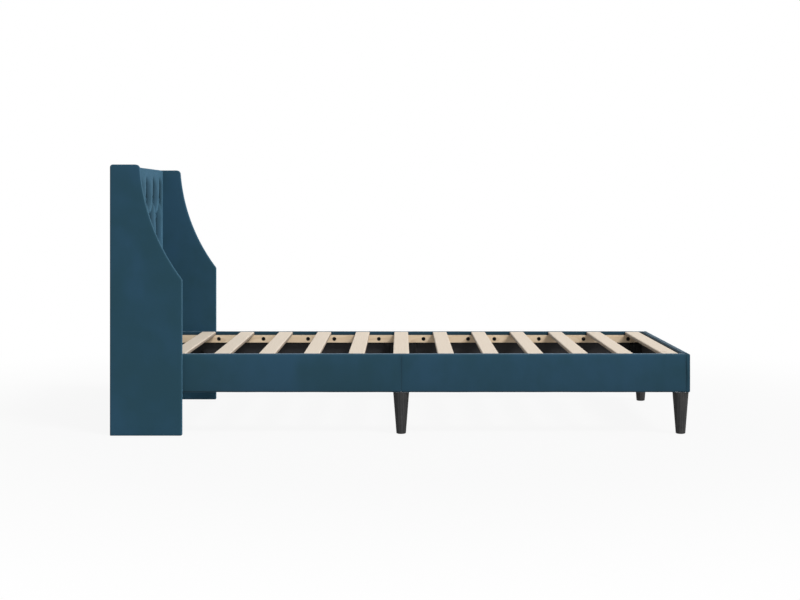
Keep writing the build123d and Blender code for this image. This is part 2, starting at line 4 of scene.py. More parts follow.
import bmesh
import bpy
import numpy as np
from bpy.props import FloatProperty, FloatVectorProperty, IntProperty, PointerProperty
from bpy.types import Node, NodeSocket, Operator, Panel, PropertyGroup
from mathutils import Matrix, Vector, noise


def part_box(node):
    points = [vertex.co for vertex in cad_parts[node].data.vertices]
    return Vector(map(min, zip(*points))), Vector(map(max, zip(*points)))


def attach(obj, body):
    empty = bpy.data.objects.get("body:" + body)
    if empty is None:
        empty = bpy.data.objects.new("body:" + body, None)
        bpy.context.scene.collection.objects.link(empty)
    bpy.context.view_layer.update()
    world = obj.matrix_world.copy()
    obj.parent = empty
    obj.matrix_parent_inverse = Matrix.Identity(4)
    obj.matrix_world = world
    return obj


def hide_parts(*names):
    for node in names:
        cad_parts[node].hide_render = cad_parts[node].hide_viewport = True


bl_info = {
    "name": "Upholstered Bed",
    "version": (1, 0, 0),
    "blender": (4, 5, 0),
    "location": "3D View > Sidebar > Bed",
    "description": "Velvet, wood and steel for a single bed with a tufted wing headboard",
    "category": "Object",
}

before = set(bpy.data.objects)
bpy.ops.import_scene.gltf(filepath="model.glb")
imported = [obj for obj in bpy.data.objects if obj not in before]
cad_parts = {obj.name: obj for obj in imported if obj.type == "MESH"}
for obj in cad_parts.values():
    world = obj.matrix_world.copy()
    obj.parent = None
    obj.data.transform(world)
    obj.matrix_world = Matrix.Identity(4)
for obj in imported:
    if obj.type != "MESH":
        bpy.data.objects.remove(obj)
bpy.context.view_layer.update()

ROOT = "root"
SIDES = {"left": -1, "right": 1}

# Noise scale of the pile on wings and rails, length of the covers' unevenness, and parts of a rounded edge
FRAME_PATCHES = 3.6
RIPPLE_LENGTH = 0.09
RIM_STEPS = 5

cover_low, cover_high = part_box("headboard_cover")
wing_low, wing_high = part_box("wing_cover_right")
rail_low, rail_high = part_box("rail_cover_head_right")
foot_low, foot_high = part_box("foot_cover")
slat_low, slat_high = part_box("slat_01")


# Sizes and colours that a user may change

ColourProperty = partial(FloatVectorProperty, subtype="COLOR", size=3, min=0, max=1)
LengthProperty = partial(FloatProperty, unit="LENGTH")
ShareProperty = partial(FloatProperty, min=0, max=1)


class BedVelvet(PropertyGroup):
    deep: ColourProperty(
        name="Deep", description="Velvet where the pile leans away", default=(0.0172, 0.0538, 0.0775),
    )
    light: ColourProperty(
        name="Light", description="Velvet where the pile leans towards the light",
        default=(0.0188, 0.0605, 0.1010),
    )
    head_tint: ColourProperty(
        name="Head Tint", description="Tint of the pile's glow on the headboard and wings",
        default=(0.25, 0.57, 0.83),
    )
    rail_tint: ColourProperty(
        name="Rail Tint", description="Tint of the pile's glow on the rails", default=(0.55, 0.7, 0.85),
    )
    headboard_sheen: ShareProperty(
        name="Headboard Sheen", description="Strength of the glow on the headboard", default=0.4,
    )
    frame_sheen: ShareProperty(
        name="Frame Sheen", description="Strength of the glow on the wings and rails", default=0.4,
    )
    # Painted shade on the rails: the darker, duller pile at a rail's inner top edge, down towards its foot
    # and beside its seam.
    inside_reach: LengthProperty(
        name="Inside Reach", description="Width of the darker pile at a rail's inner edge", default=0.022,
    )
    inside_edge: LengthProperty(
        name="Inside Edge", description="Width of the dull pile at a rail's inner edge", default=0.009,
    )
    foot_fall: ShareProperty(
        name="Foot Fall", description="How much a rail's pile darkens down to its foot", default=0.15,
    )
    foot_edge: ShareProperty(
        name="Foot Edge", description="Darker pile along a rail's lower edge", default=0.6,
    )
    foot_reach: LengthProperty(
        name="Foot Reach", description="Height of the darker pile along a rail's lower edge", default=0.006,
    )
    seam_shade: ShareProperty(
        name="Seam Shade", description="Darker pile at the seam between two rail halves", default=0.3,
    )
    seam_reach: LengthProperty(
        name="Seam Reach", description="Width of the darker pile beside that seam", default=0.004,
    )


class BedTufting(PropertyGroup):
    columns: IntProperty(name="Columns", description="Pleats of the upper row", default=6, min=2, max=12)
    border: LengthProperty(name="Border", description="Smooth border above the pleats", default=0.02)
    upper_drop: LengthProperty(
        name="Upper Row", description="From the top edge down to the upper buttons", default=0.126,
    )
    row_spacing: LengthProperty(
        name="Row Spacing", description="From the upper buttons down to the lower ones", default=0.068,
    )
    pleat_depth: LengthProperty(
        name="Pleat Depth", description="Depth of a pleat behind the border", default=0.0105,
    )
    swell: LengthProperty(
        name="Swell", description="How far a tuft stands in front of its pleats", default=0.016,
    )
    pleat_gap: LengthProperty(
        name="Pleat Gap", description="From a button to the deep part of its upright pleat", default=0.014,
    )
    between_light: ShareProperty(
        name="Between Light", description="How much the pleats' shade weakens between the rows",
        default=0.55,
    )
    softness: LengthProperty(
        name="Softness", description="How fast a tuft rises from its pleat", default=0.03,
    )
    crease: LengthProperty(
        name="Crease", description="Half the width of the sharp crease in a pleat", default=0.007,
    )
    diagonal_share: ShareProperty(
        name="Diagonal Share", description="Depth of the slanting pleats next to the upright ones",
        default=0.38,
    )
    cloth_cell: LengthProperty(
        name="Cloth Cell", description="Mesh size of the cloth that settles over the pad",
        default=0.006, min=0.004,
    )
    cloth_share: ShareProperty(
        name="Cloth Share", description="Share of the settled movement that is kept", default=0.45,
    )
    cloth_lift: LengthProperty(
        name="Cloth Lift", description="Most that the settled cloth may move", default=0.006,
    )
    brow_radius: LengthProperty(name="Brow Radius", description="Rounding of the top edge", default=0.009)
    button_radius: LengthProperty(
        name="Button Radius", description="Radius of a covered button", default=0.0105,
    )


class BedCovers(PropertyGroup):
    edge_radius: LengthProperty(
        name="Edge Radius", description="Rounding of the covers' edges", default=0.0045,
    )
    rail_radius: LengthProperty(
        name="Rail Radius", description="Rounding of the side rails' outer edges", default=0.0068,
    )
    seam_radius: LengthProperty(
        name="Seam Radius", description="Rounding of the rail covers where they meet", default=0.0018,
    )
    foot_brow: LengthProperty(
        name="Foot Brow", description="Rounding of the foot rail's inner top edge", default=0.006,
    )
    foot_dome: LengthProperty(
        name="Foot Dome", description="Height of the foot rail's padded top over its edges", default=0.0032,
    )
    crown: LengthProperty(name="Crown", description="Swelling of the padded faces", default=0.0009)
    ripple: LengthProperty(
        name="Ripple", description="Height of the soft unevenness in the padding", default=0.00035,
    )
    hem: LengthProperty(name="Hem", description="Height of the velvet's hem inside the rails", default=0.02)


class BedWood(PropertyGroup):
    pine_light: ColourProperty(
        name="Pine Light", description="Early wood of the pine", default=(0.8, 0.7, 0.585),
    )
    pine_dark: ColourProperty(
        name="Pine Dark", description="Late wood of the pine", default=(0.68, 0.55, 0.41),
    )
    ledger_light: ColourProperty(
        name="Ledger Light", description="Early wood of the ledgers", default=(0.76, 0.60, 0.42),
    )
    ledger_dark: ColourProperty(
        name="Ledger Dark", description="Late wood of the ledgers", default=(0.64, 0.47, 0.30),
    )
    stain: ColourProperty(
        name="Stain", description="Black stain of the legs", default=(0.0145, 0.0145, 0.015),
    )
    slat_edge: LengthProperty(name="Slat Edge", description="Rounding of a slat's long edges", default=0.004)


class BedStage(PropertyGroup):
    floor: ColourProperty(name="Floor", description="Colour of the floor", default=(0.5, 0.5, 0.5))
    sky: FloatProperty(name="Sky", description="Light from all round", default=0.4, min=0)
    key: FloatProperty(name="Key", description="Strength of the main lamp", default=2.1, min=0)
    front: FloatProperty(name="Front", description="Strength of the front lamp", default=0.95, min=0)
    lens: FloatProperty(
        name="Lens", description="Focal length of the camera",
        default=67.6, min=10, subtype="DISTANCE_CAMERA",
    )


# Meshes

def linked(name, data):
    """A new object in the scene."""
    piece = bpy.data.objects.new(name, data)
    bpy.context.scene.collection.objects.link(piece)
    return piece


def finish_mesh(name, mesh, slot, *nodes):
    """Give a mesh its object and its body, and hide the CAD nodes that it stands for. slot is not used."""
    piece = linked(name, mesh)
    mesh.shade_smooth()
    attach(piece, ROOT)
    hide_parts(*nodes)
    return piece


def outward(mesh):
    """Merge doubles and point every face outwards."""
    work = bmesh.new()
    work.from_mesh(mesh)
    bmesh.ops.remove_doubles(work, verts=work.verts, dist=1e-6)
    bmesh.ops.recalc_face_normals(work, faces=work.faces)
    work.to_mesh(mesh)
    work.free()


def loft(name, rings, **values):
    """Closed skin through rings of points. values are numbers per point, kept by name."""
    count = len(rings[0])
    points = [point for ring in rings for point in ring]
    last = len(points) - count
    faces = []
    for start in range(0, last, count):
        for i in range(count):
            j = (i + 1) % count
            faces.append((start + i, start + j, start + count + j, start + count + i))
    faces += [tuple(range(count)), tuple(range(last, last + count))]
    mesh = bpy.data.meshes.new(name)
    mesh.from_pydata(points, [], faces)
    for key, numbers in values.items():
        mesh.attributes.new(key, "FLOAT", "POINT").data.foreach_set("value", numbers)
    outward(mesh)
    return mesh


def arc(centre, radius, start, end, parts):
    """Points on a circle between two angles, in degrees."""
    angles = [math.radians(start + (end - start) * part / parts) for part in range(parts + 1)]
    return [(centre[0] + radius * math.cos(a), centre[1] + radius * math.sin(a)) for a in angles]


def spread(start, end, count):
    """Points between two points, both left out."""
    return [
        tuple(a + (b - a) * (step + 1) / (count + 1) for a, b in zip(start, end)) for step in range(count)
    ]


def steps(low, high, size):
    """Even values from one limit to just below another."""
    count = max(1, round((high - low) / size))
    return [low + (high - low) * step / count for step in range(count)]


def rim(radius):
    """Inset and depth pairs round a quarter circle, from the side onto the face."""
    angles = [math.pi / 2 * step / RIM_STEPS for step in range(RIM_STEPS + 1)]
    return [(radius * (1 - math.cos(a)), radius * (1 - math.sin(a))) for a in angles]


def ripple(mesh, height, seed):
    """Move the points along their normals by slow noise."""
    mesh.update()
    normals = [vertex.normal.copy() for vertex in mesh.vertices]
    shift = Vector((seed * 3.7, seed * 1.9, seed * 5.3))
    for vertex, normal in zip(mesh.vertices, normals):
        vertex.co += normal * (height * noise.noise(vertex.co / RIPPLE_LENGTH + shift))


# Node building

def feed(tree, node, sockets):
    """Set a node's inputs. An output, or a node's first one, is linked. Anything else is the value."""
    for key, value in sockets.items():
        value = value.outputs[0] if isinstance(value, Node) else value
        if isinstance(value, NodeSocket):
            tree.links.new(value, node.inputs[key])
        else:
            node.inputs[key].default_value = value
    return node


def add(tree, kind, sockets=None, **settings):
    """Add a node with its settings and inputs."""
    node = tree.nodes.new(kind)
    for key, value in settings.items():
        setattr(node, key, value)
    return feed(tree, node, sockets or {})


def new_tree(kind, name, inputs, outputs):
    """A node tree with named sockets. An input is given by its default number or by its kind."""
    tree = bpy.data.node_groups.new(name, kind)
    for label, given in inputs.items():
        word = {float: "Float", int: "Int"}.get(type(given), given)
        socket = tree.interface.new_socket(label, in_out="INPUT", socket_type="NodeSocket" + word)
        if word != given:
            socket.default_value = given
    for label, word in outputs.items():
        tree.interface.new_socket(label, in_out="OUTPUT", socket_type="NodeSocket" + word)
    return tree, tree.nodes.new("NodeGroupInput").outputs, tree.nodes.new("NodeGroupOutput")


def maths(tree, operation, *values):
    """Arithmetic on outputs or numbers."""
    return add(tree, "ShaderNodeMath", dict(enumerate(values)), operation=operation).outputs[0]


def vector_maths(tree, operation, *values):
    """Arithmetic on vectors."""
    return add(tree, "ShaderNodeVectorMath", dict(enumerate(values)), operation=operation).outputs[0]


def scaled(tree, vector, factors):
    """Vector stretched by three factors."""
    return vector_maths(tree, "MULTIPLY", vector, factors)


def parted(tree, vector):
    """The X, Y and Z of a vector."""
    return add(tree, "ShaderNodeSeparateXYZ", {0: vector}).outputs


def combined(tree, **parts):
    """A vector from its X, Y and Z."""
    return add(tree, "ShaderNodeCombineXYZ", parts).outputs[0]


# Shader building

def attribute(tree, name):
    """A number that the mesh keeps at its points."""
    return add(tree, "ShaderNodeAttribute", attribute_name=name).outputs["Fac"]


def noise_value(tree, vector, scale, detail, roughness, distortion=0):
    """Noise factor on a vector."""
    return add(tree, "ShaderNodeTexNoise", {
        "Vector": vector, "Scale": scale, "Detail": detail, "Roughness": roughness, "Distortion": distortion,
    }).outputs["Fac"]


def cells(tree, vector, scale, randomness):
    """Distance to the nearest of many scattered points."""
    sockets = {"Vector": vector, "Scale": scale, "Randomness": randomness}
    return add(tree, "ShaderNodeTexVoronoi", sockets, feature="F1").outputs["Distance"]


def ranged(tree, value, low, high, to_low=0, to_high=1):
    """Value moved from one range to another, and clamped."""
    sockets = {"Value": value, "From Min": low, "From Max": high, "To Min": to_low, "To Max": to_high}
    return add(tree, "ShaderNodeMapRange", sockets, interpolation_type="SMOOTHSTEP").outputs["Result"]


def rgba(colour):
    """A colour with full alpha. An output stays as it is."""
    return colour if isinstance(colour, NodeSocket) else (*colour[:3], 1)


def tinted(colour, shares):
    """A colour times one share, or a share for each channel."""
    return tuple(channel * share for channel, share in zip(colour, np.broadcast_to(shares, 3)))


def mixed(tree, factor, first, second):
    """Colour mix by a factor, on the Mix node's sockets for colours."""
    sockets = {0: factor, 6: rgba(first), 7: rgba(second)}
    return add(tree, "ShaderNodeMix", sockets, data_type="RGBA").outputs[2]


def pile_masks(tree, given):
    """Velvet pile: a mask of how the pile lies, and a fine height."""
    vector = given["Vector"]
    patches = noise_value(tree, vector, given["Patch Scale"], 3, 0.5, 0.6)
    strokes = noise_value(tree, scaled(tree, vector, (17, 17, 11)), 1, 2, 0.5)
    fibre = noise_value(tree, vector, 900, 2, 0.6)
    slub = noise_value(tree, vector, 160, 3, 0.6)
    lay = maths(tree, "MULTIPLY_ADD", strokes, 0.25, maths(tree, "MULTIPLY", patches, 0.75))
    speckle = maths(tree, "MULTIPLY_ADD", fibre, 0.12, lay)
    height = maths(tree, "MULTIPLY_ADD", slub, 0.6, fibre)
    return {"Lay": ranged(tree, speckle, 0.38, 0.72), "Height": height}


def grain_masks(tree, given):
    """Wood grain along the vector's X: masks of late wood and knots, and a height."""
    vector = given["Vector"]
    warp = noise_value(tree, scaled(tree, vector, (1.6, 7, 7)), 1, 2, 0.5).node.outputs["Color"]
    bent = vector_maths(tree, "MULTIPLY_ADD", warp, (0.0, 0.06, 0.06), vector)
    away = cells(tree, scaled(tree, bent, (2.6, 9, 9)), 1, 1)
    pushed = maths(tree, "MULTIPLY", ranged(tree, away, 0.34, 0.04), 0.02)
    bent = vector_maths(tree, "ADD", bent, combined(tree, Y=pushed, Z=pushed))
    rings = add(tree, "ShaderNodeTexWave", {
        "Vector": scaled(tree, bent, (0.05, 1, 0.35)), "Scale": given["Ring Scale"], "Distortion": 2.2,
        "Detail": 2, "Detail Scale": 1.2, "Detail Roughness": 0.5,
    }, bands_direction="Y", wave_profile="SAW").outputs["Fac"]
    streaks = noise_value(tree, scaled(tree, bent, (5, 260, 260)), 1, 3, 0.6)
    pores = noise_value(tree, scaled(tree, vector, (22, 1100, 1100)), 1, 2, 0.6)
    band = maths(tree, "MULTIPLY", rings, ranged(tree, streaks, 0.3, 0.75, 0.45, 1))
    return {
        "Grain": maths(tree, "MULTIPLY_ADD", pores, 0.25, maths(tree, "MULTIPLY", band, 0.8)),
        "Knot": maths(tree, "MULTIPLY", ranged(tree, away, 0.1, 0.03), given["Knots"]),
        "Height": maths(tree, "SUBTRACT", pores, maths(tree, "MULTIPLY", band, 0.4)),
    }


def fibre_masks(tree, given):
    """Thin non-woven cloth: small pressed dots, fibres and a height."""
    vector = given["Vector"]
    fibre = noise_value(tree, scaled(tree, vector, (420, 420, 420)), 1, 4, 0.7)
    dots = ranged(tree, cells(tree, vector, 420, 0.12), 0.1, 0.4)
    return {"Fibre": fibre, "Height": maths(tree, "MULTIPLY_ADD", dots, 0.7, fibre)}


def scuff_masks(tree, given):
    """Fine scuffs and dust, for metal, plastic and stained wood."""
    vector = given["Vector"]
    cloud = noise_value(tree, vector, given["Scale"], 6, 0.65)
    scratch = noise_value(tree, scaled(tree, vector, (900, 60, 900)), 1, 2, 0.5)
    return {"Scuff": ranged(tree, maths(tree, "MULTIPLY", cloud, scratch), 0.2, 0.42), "Height": cloud}


GROUPS = {
    "Velvet Pile": (pile_masks, {"Patch Scale": 7.0}, ("Lay", "Height")),
    "Wood Grain": (grain_masks, {"Ring Scale": 60.0, "Knots": 1.0}, ("Grain", "Knot", "Height")),
    "Pressed Cloth": (fibre_masks, {}, ("Fibre", "Height")),
    "Scuffs": (scuff_masks, {"Scale": 60.0}, ("Scuff", "Height")),
}


def group(tree, name, sockets):
    """Place a shared group in a material with its own values."""
    if name not in bpy.data.node_groups:
        build, inputs, outputs = GROUPS[name]
        inputs = {"Vector": "Vector", **inputs}
        shared, given, out = new_tree("ShaderNodeTree", name, inputs, dict.fromkeys(outputs, "Float"))
        feed(shared, out, build(shared, given))
    return add(tree, "ShaderNodeGroup", sockets, node_tree=bpy.data.node_groups[name]).outputs


def new_material(name):
    """An empty node material with its Principled shader and Object coordinates."""
    material = bpy.data.materials.new(name)
    material.use_nodes = True
    tree = material.node_tree
    tree.nodes.clear()
    shader = tree.nodes.new("ShaderNodeBsdfPrincipled")
    add(tree, "ShaderNodeOutputMaterial", {"Surface": shader})
    return material, tree, shader, tree.nodes.new("ShaderNodeTexCoord").outputs["Object"]


def bump(tree, height, distance, strength):
    """Normal from a height."""
    return add(tree, "ShaderNodeBump", {"Strength": strength, "Distance": distance, "Height": height})


def velvet(name, sheen, tint, patch_scale, painted_crease_shade=False):
    """Short-pile velvet. When asked to, it darkens its colour by the mesh's own crease values, as painted
    shade.
    """
    sizes = bpy.context.scene.bed_velvet
    material, tree, shader, vector = new_material(name)
    pile = group(tree, "Velvet Pile", {"Vector": vector, "Patch Scale": patch_scale})
    colour = mixed(tree, pile["Lay"], sizes.deep, sizes.light)
    # Painted shade: the colour darkens towards a deep tone where the mesh's crease value is high, in pleats
    # and at the rails' edges and seams.
    if painted_crease_shade:
        colour = mixed(tree, attribute(tree, "crease"), colour, tinted(sizes.deep, 0.3))
    feed(tree, shader, {
        "Base Color": colour, "Roughness": ranged(tree, pile["Lay"], 0, 1, 0.95, 0.82),
        "Sheen Weight": sheen, "Sheen Roughness": 0.42, "Sheen Tint": rgba(tint), "Specular IOR Level": 0.12,
        "Normal": bump(tree, pile["Height"], 0.00018, 0.8),
    })
    return material


def turned(tree, vector, axis):
    """The vector with an axis as its X, along which the grain runs."""
    parts = parted(tree, vector)
    order = {"X": "XYZ", "Y": "YXZ", "Z": "ZXY"}[axis]
    return combined(tree, **{target: parts[source] for target, source in zip("XYZ", order)})


def slat_side_shade(tree, vector):
    """Share of painted shade on a slat's sides, under its top face."""
    fall = ranged(tree, parted(tree, vector)["Z"], slat_high.z - 0.006, slat_high.z - 0.0006, 1, 0)
    return maths(tree, "MULTIPLY", fall, 0.6)


def wood(name, light, dark, axis, seed, ring_scale=60.0, knots=1.0, slat=False):
    """Planed wood with its grain along an axis. slat gives each board its own shift, and painted shade on
    its sides.
    """
    material, tree, shader, vector = new_material(name)
    moved = vector_maths(tree, "ADD", turned(tree, vector, axis), (seed * 1.37, seed * 0.71, seed * 0.43))
    if slat:
        own = attribute(tree, "board")
        everywhere = combined(tree, X=own, Y=own, Z=own)
        moved = vector_maths(tree, "MULTIPLY_ADD", everywhere, (7.3, 3.1, 1.7), moved)
    grain = group(tree, "Wood Grain", {"Vector": moved, "Ring Scale": ring_scale, "Knots": knots})
    colour = mixed(tree, ranged(tree, grain["Grain"], 0.1, 1.0), light, dark)
    colour = mixed(tree, grain["Knot"], colour, tinted(dark, (0.5, 0.38, 0.3)))
    if slat:
        colour = mixed(tree, maths(tree, "MULTIPLY", own, 0.3), colour, tinted(light, 0.93))
        # Painted shade: a slat's sides below its top face go darker and browner.
        colour = mixed(tree, slat_side_shade(tree, vector), colour, tinted(dark, (0.22, 0.16, 0.12)))
    feed(tree, shader, {
        "Base Color": colour, "Roughness": ranged(tree, grain["Grain"], 0, 1, 0.7, 0.56),
        "Specular IOR Level": 0.3, "Normal": bump(tree, grain["Height"], 0.00012, 0.6),
    })
    return material


def cloth(name, dark, light):
    """Black non-woven cloth."""
    material, tree, shader, vector = new_material(name)
    fibre = group(tree, "Pressed Cloth", {"Vector": vector})
    feed(tree, shader, {
        "Base Color": mixed(tree, ranged(tree, fibre["Fibre"], 0.3, 0.7), dark, light),
        "Roughness": ranged(tree, fibre["Fibre"], 0, 1, 0.98, 0.86),
        "Specular IOR Level": 0.15, "Normal": bump(tree, fibre["Height"], 0.0002, 0.7),
    })
    return material


def hard(name, clean, worn, metallic, smooth_level, rough_level, scale, gloss=0.5):
    """Metal or plastic with fine scuffs."""
    material, tree, shader, vector = new_material(name)
    wear = group(tree, "Scuffs", {"Vector": vector, "Scale": scale})
    feed(tree, shader, {
        "Base Color": mixed(tree, wear["Scuff"], clean, worn), "Metallic": metallic,
        "Roughness": ranged(tree, wear["Scuff"], 0, 1, smooth_level, rough_level),
        "Specular IOR Level": gloss, "Normal": bump(tree, wear["Height"], 0.00004, 0.4),
    })
    return material


def stained(name, share=1.0, gloss=0.35):
    """Black stained wood with the grain showing through."""
    stain = tinted(bpy.context.scene.bed_wood.stain, share)
    material, tree, shader, vector = new_material(name)
    upright = turned(tree, vector, "Z")
    grain = group(tree, "Wood Grain", {"Vector": upright, "Ring Scale": 28.0, "Knots": 0.0})
    wear = group(tree, "Scuffs", {"Vector": vector, "Scale": 30.0})
    colour = mixed(tree, ranged(tree, grain["Grain"], 0.1, 0.9), tinted(stain, 2.1), tinted(stain, 0.45))
    feed(tree, shader, {
        "Base Color": mixed(tree, maths(tree, "MULTIPLY", wear["Scuff"], 0.12), colour, (0.16, 0.15, 0.14)),
        "Roughness": ranged(tree, grain["Grain"], 0, 1, 0.46, 0.6),
        "Specular IOR Level": gloss, "Normal": bump(tree, grain["Height"], 0.0001, 0.5),
    })
    return material


def dress(material, *starts):
    """Give a material to the CAD nodes whose names start so."""
    for name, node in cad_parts.items():
        if name.startswith(starts):
            node.data.materials.clear()
            node.data.materials.append(material)


# Geometry Nodes

def grown(name, tree, values, slot, *nodes):
    """Run a tree on an empty mesh, turn the result into a plain piece and drop the modifier."""
    carrier = linked(name + "_carrier", bpy.data.meshes.new(name + "_carrier"))
    modifier = carrier.modifiers.new("Grow", "NODES")
    modifier.node_group = tree
    for item in tree.interface.items_tree:
        if item.in_out == "INPUT" and item.name in values:
            modifier[item.identifier] = values[item.name]
    graph = bpy.context.evaluated_depsgraph_get()
    mesh = bpy.data.meshes.new_from_object(carrier.evaluated_get(graph), depsgraph=graph)
    mesh.name = name
    carrier.modifiers.remove(modifier)
    bpy.data.objects.remove(carrier)
    return finish_mesh(name, mesh, slot, *nodes)


def drawn(tree, seed, **limits):
    """A random number for each instance."""
    node = add(tree, "FunctionNodeRandomValue", {"Seed": seed, **limits}, data_type="FLOAT")
    return next(socket for socket in node.outputs if socket.enabled and socket.type == "VALUE")


def hand_out(tree, out, instances, material):
    """End a tree with real meshes in their material."""
    real = add(tree, "GeometryNodeRealizeInstances", {"Geometry": instances})
    feed(tree, out, {0: add(tree, "GeometryNodeSetMaterial", {"Geometry": real, "Material": material})})
    return tree


def slat_tree():
    """Rows of boards with rounded long edges, each with its own shift in the grain."""
    tree, given, out = new_tree("GeometryNodeTree", "Slats", {
        "First": "Vector", "Step": "Vector", "Count": 13, "Width": 0.059, "Thickness": 0.014,
        "Length": 0.911, "Edge": 0.004, "Seed": 3, "Material": "Material",
    }, {"Geometry": "Geometry"})
    line = {"Count": given["Count"], "Start Location": given["First"], "Offset": given["Step"]}
    points = add(tree, "GeometryNodeMeshLine", line)
    start, end = (combined(tree, Y=maths(tree, "MULTIPLY", given["Length"], share)) for share in (-0.5, 0.5))
    spine = add(tree, "GeometryNodeCurvePrimitiveLine", {"Start": start, "End": end})
    section = {"Width": given["Width"], "Height": given["Thickness"]}
    profile = add(tree, "GeometryNodeCurvePrimitiveQuadrilateral", section)
    corner = {"Curve": profile, "Radius": given["Edge"], "Count": 5}
    rounded = add(tree, "GeometryNodeFilletCurve", corner, mode="POLY")
    skin = {"Curve": spine, "Profile Curve": rounded, "Fill Caps": True}
    board = add(tree, "GeometryNodeCurveToMesh", skin)
    placed = add(tree, "GeometryNodeInstanceOnPoints", {"Points": points, "Instance": board})
    own = {"Geometry": placed, "Name": "board", "Value": drawn(tree, given["Seed"])}
    stored = add(tree, "GeometryNodeStoreNamedAttribute", own, domain="INSTANCE", data_type="FLOAT")
    return hand_out(tree, out, stored, given["Material"])


def button_tree():
    """Covered buttons in two staggered rows, each turned a little."""
    tree, given, out = new_tree("GeometryNodeTree", "Buttons", {
        "Upper Start": "Vector", "Lower Start": "Vector", "Upper Count": 6, "Pitch": 0.16, "Radius": 0.0105,
        "Height": 0.0055, "Seed": 5, "Material": "Material",
    }, {"Geometry": "Geometry"})
    step = combined(tree, Y=given["Pitch"])
    join = tree.nodes.new("GeometryNodeJoinGeometry")
    for row, fewer in (("Lower Start", 1), ("Upper Start", 0)):
        count = maths(tree, "SUBTRACT", given["Upper Count"], fewer)
        line = {"Count": count, "Start Location": given[row], "Offset": step}
        feed(tree, join, {0: add(tree, "GeometryNodeMeshLine", line)})
    ball = add(tree, "GeometryNodeMeshUVSphere", {"Segments": 40, "Rings": 20, "Radius": 1.0})
    position = tree.nodes.new("GeometryNodeInputPosition")
    parts = parted(tree, position)
    angle = maths(tree, "ARCTAN2", parts["Y"], parts["X"])
    folds = maths(tree, "SINE", maths(tree, "MULTIPLY", angle, 13))
    below = maths(tree, "SUBTRACT", 1, maths(tree, "ABSOLUTE", parts["Z"]))
    reach = maths(tree, "POWER", maths(tree, "ABSOLUTE", below), 2)
    pucker = maths(tree, "MULTIPLY", maths(tree, "MULTIPLY", folds, reach), 0.035)
    pucker = maths(tree, "ADD", 1, pucker)
    squeezed = vector_maths(tree, "MULTIPLY", position, combined(tree, X=pucker, Y=pucker, Z=1.0))
    shaped = add(tree, "GeometryNodeSetPosition", {"Geometry": ball, "Position": squeezed})
    size = combined(tree, X=given["Radius"], Y=given["Radius"], Z=given["Height"])
    sized = add(tree, "GeometryNodeTransform", {"Geometry": shaped, "Scale": size})
    facing = add(tree, "GeometryNodeTransform", {"Geometry": sized, "Rotation": (0, math.pi / 2, 0)})
    smooth = add(tree, "GeometryNodeSetShadeSmooth", {0: facing})
    turn = combined(tree, X=drawn(tree, given["Seed"], Max=2 * math.pi))
    spots = {"Points": join, "Instance": smooth, "Rotation": turn}
    return hand_out(tree, out, add(tree, "GeometryNodeInstanceOnPoints", spots), given["Material"])


# Headboard

pad_half = cover_high.y
pad_top = cover_high.z
pad_foot = rail_high.z + 0.006

# The relief: shares of a pleat's fall, the crater and the puckers round a button, the fades at the pad's
# edges, the groove along its foot, and how the crease shade follows from the relief
SOFT_FALL, SHARP_FALL = 0.56, 0.44
CRATER_DEPTH, CRATER_RADIUS = 0.92, 0.0135
PUCKERS, PUCKER_RADIUS, PUCKER_WIDTH, PUCKER_HEIGHT = 11, 0.014, 0.013, 0.00055
TOP_FADE, FOOT_FADE, SIDE_FADE, SIDE_BORDER = 0.05, 0.034, 0.03, 0.014
GROOVE_DEPTH, GROOVE_WIDTH = 0.0028, 0.005
PIN_REACH, BUTTON_PIN = 0.008, 0.8
SHADE_LEVEL, SHADE_GAIN, SHADE_POWER = 1.25, 1.3, 0.9
ROWS_FADE, ROWS_MARGIN = 0.032, 0.01

# The mesh: cells from the bottom up, the sides' rounding, the covered edge at the back and the buttons
FINE_CELL = 0.0022
ROW_CELLS = (0.02, 0.002, 0.006, 0.01, FINE_CELL)
SIDE_RADIUS = 0.005
FOLD_DEPTH = 0.003
LIP_GAP = 0.0001
BUTTON_SINK, BUTTON_HEIGHT = 0.0062, 0.0046

# The cloth that settles over the pad, with the filling's push and the velvet's slack
CLOTH_FRAMES, CLOTH_SMOOTHING, CLOTH_SINK = 20, 12, 0.0015
CLOTH = {
    "quality": 5, "mass": 0.3, "tension_stiffness": 15, "compression_stiffness": 15, "shear_stiffness": 5,
    "bending_stiffness": 6, "vertex_group_mass": "pins", "use_pressure": True, "uniform_pressure_force": 4,
    "shrink_min": -0.015,
}


def smoothstep(value):
    """Soft ramp from 0 to 1."""
    value = np.clip(value, 0, 1)
    return value * value * (3 - 2 * value)


def segment_distance(y, z, start, end):
    """Distance from points to a straight pleat."""
    direction = np.array(end) - np.array(start)
    along = ((y - start[0]) * direction[0] + (z - start[1]) * direction[1]) / (direction @ direction)
    along = np.clip(along, 0, 1)
    return np.hypot(y - start[0] - along * direction[0], z - start[1] - along * direction[1])


def tuft_layout(sizes):
    """Pleats of the pad, each with its share of the depth, and the places of the buttons."""
    pitch = 2 * pad_half / sizes.columns
    upper_z = pad_top - sizes.upper_drop
    lower_z = upper_z - sizes.row_spacing
    uppers = [pitch * (number - (sizes.columns - 1) / 2) for number in range(sizes.columns)]
    lowers = [pitch * (number - sizes.columns / 2) for number in range(1, sizes.columns)]
    pleats = [((y, upper_z + sizes.pleat_gap), (y, pad_top + pitch), 1) for y in uppers]
    pleats += [
        ((y, upper_z), (y + side * pitch / 2, lower_z), sizes.diagonal_share)
        for y in uppers for side in (-1, 1)
    ]
    pleats += [((y, pad_foot), (y, lower_z - sizes.pleat_gap), 1) for y in lowers]
    return pleats, [(y, upper_z) for y in uppers] + [(y, lower_z) for y in lowers]


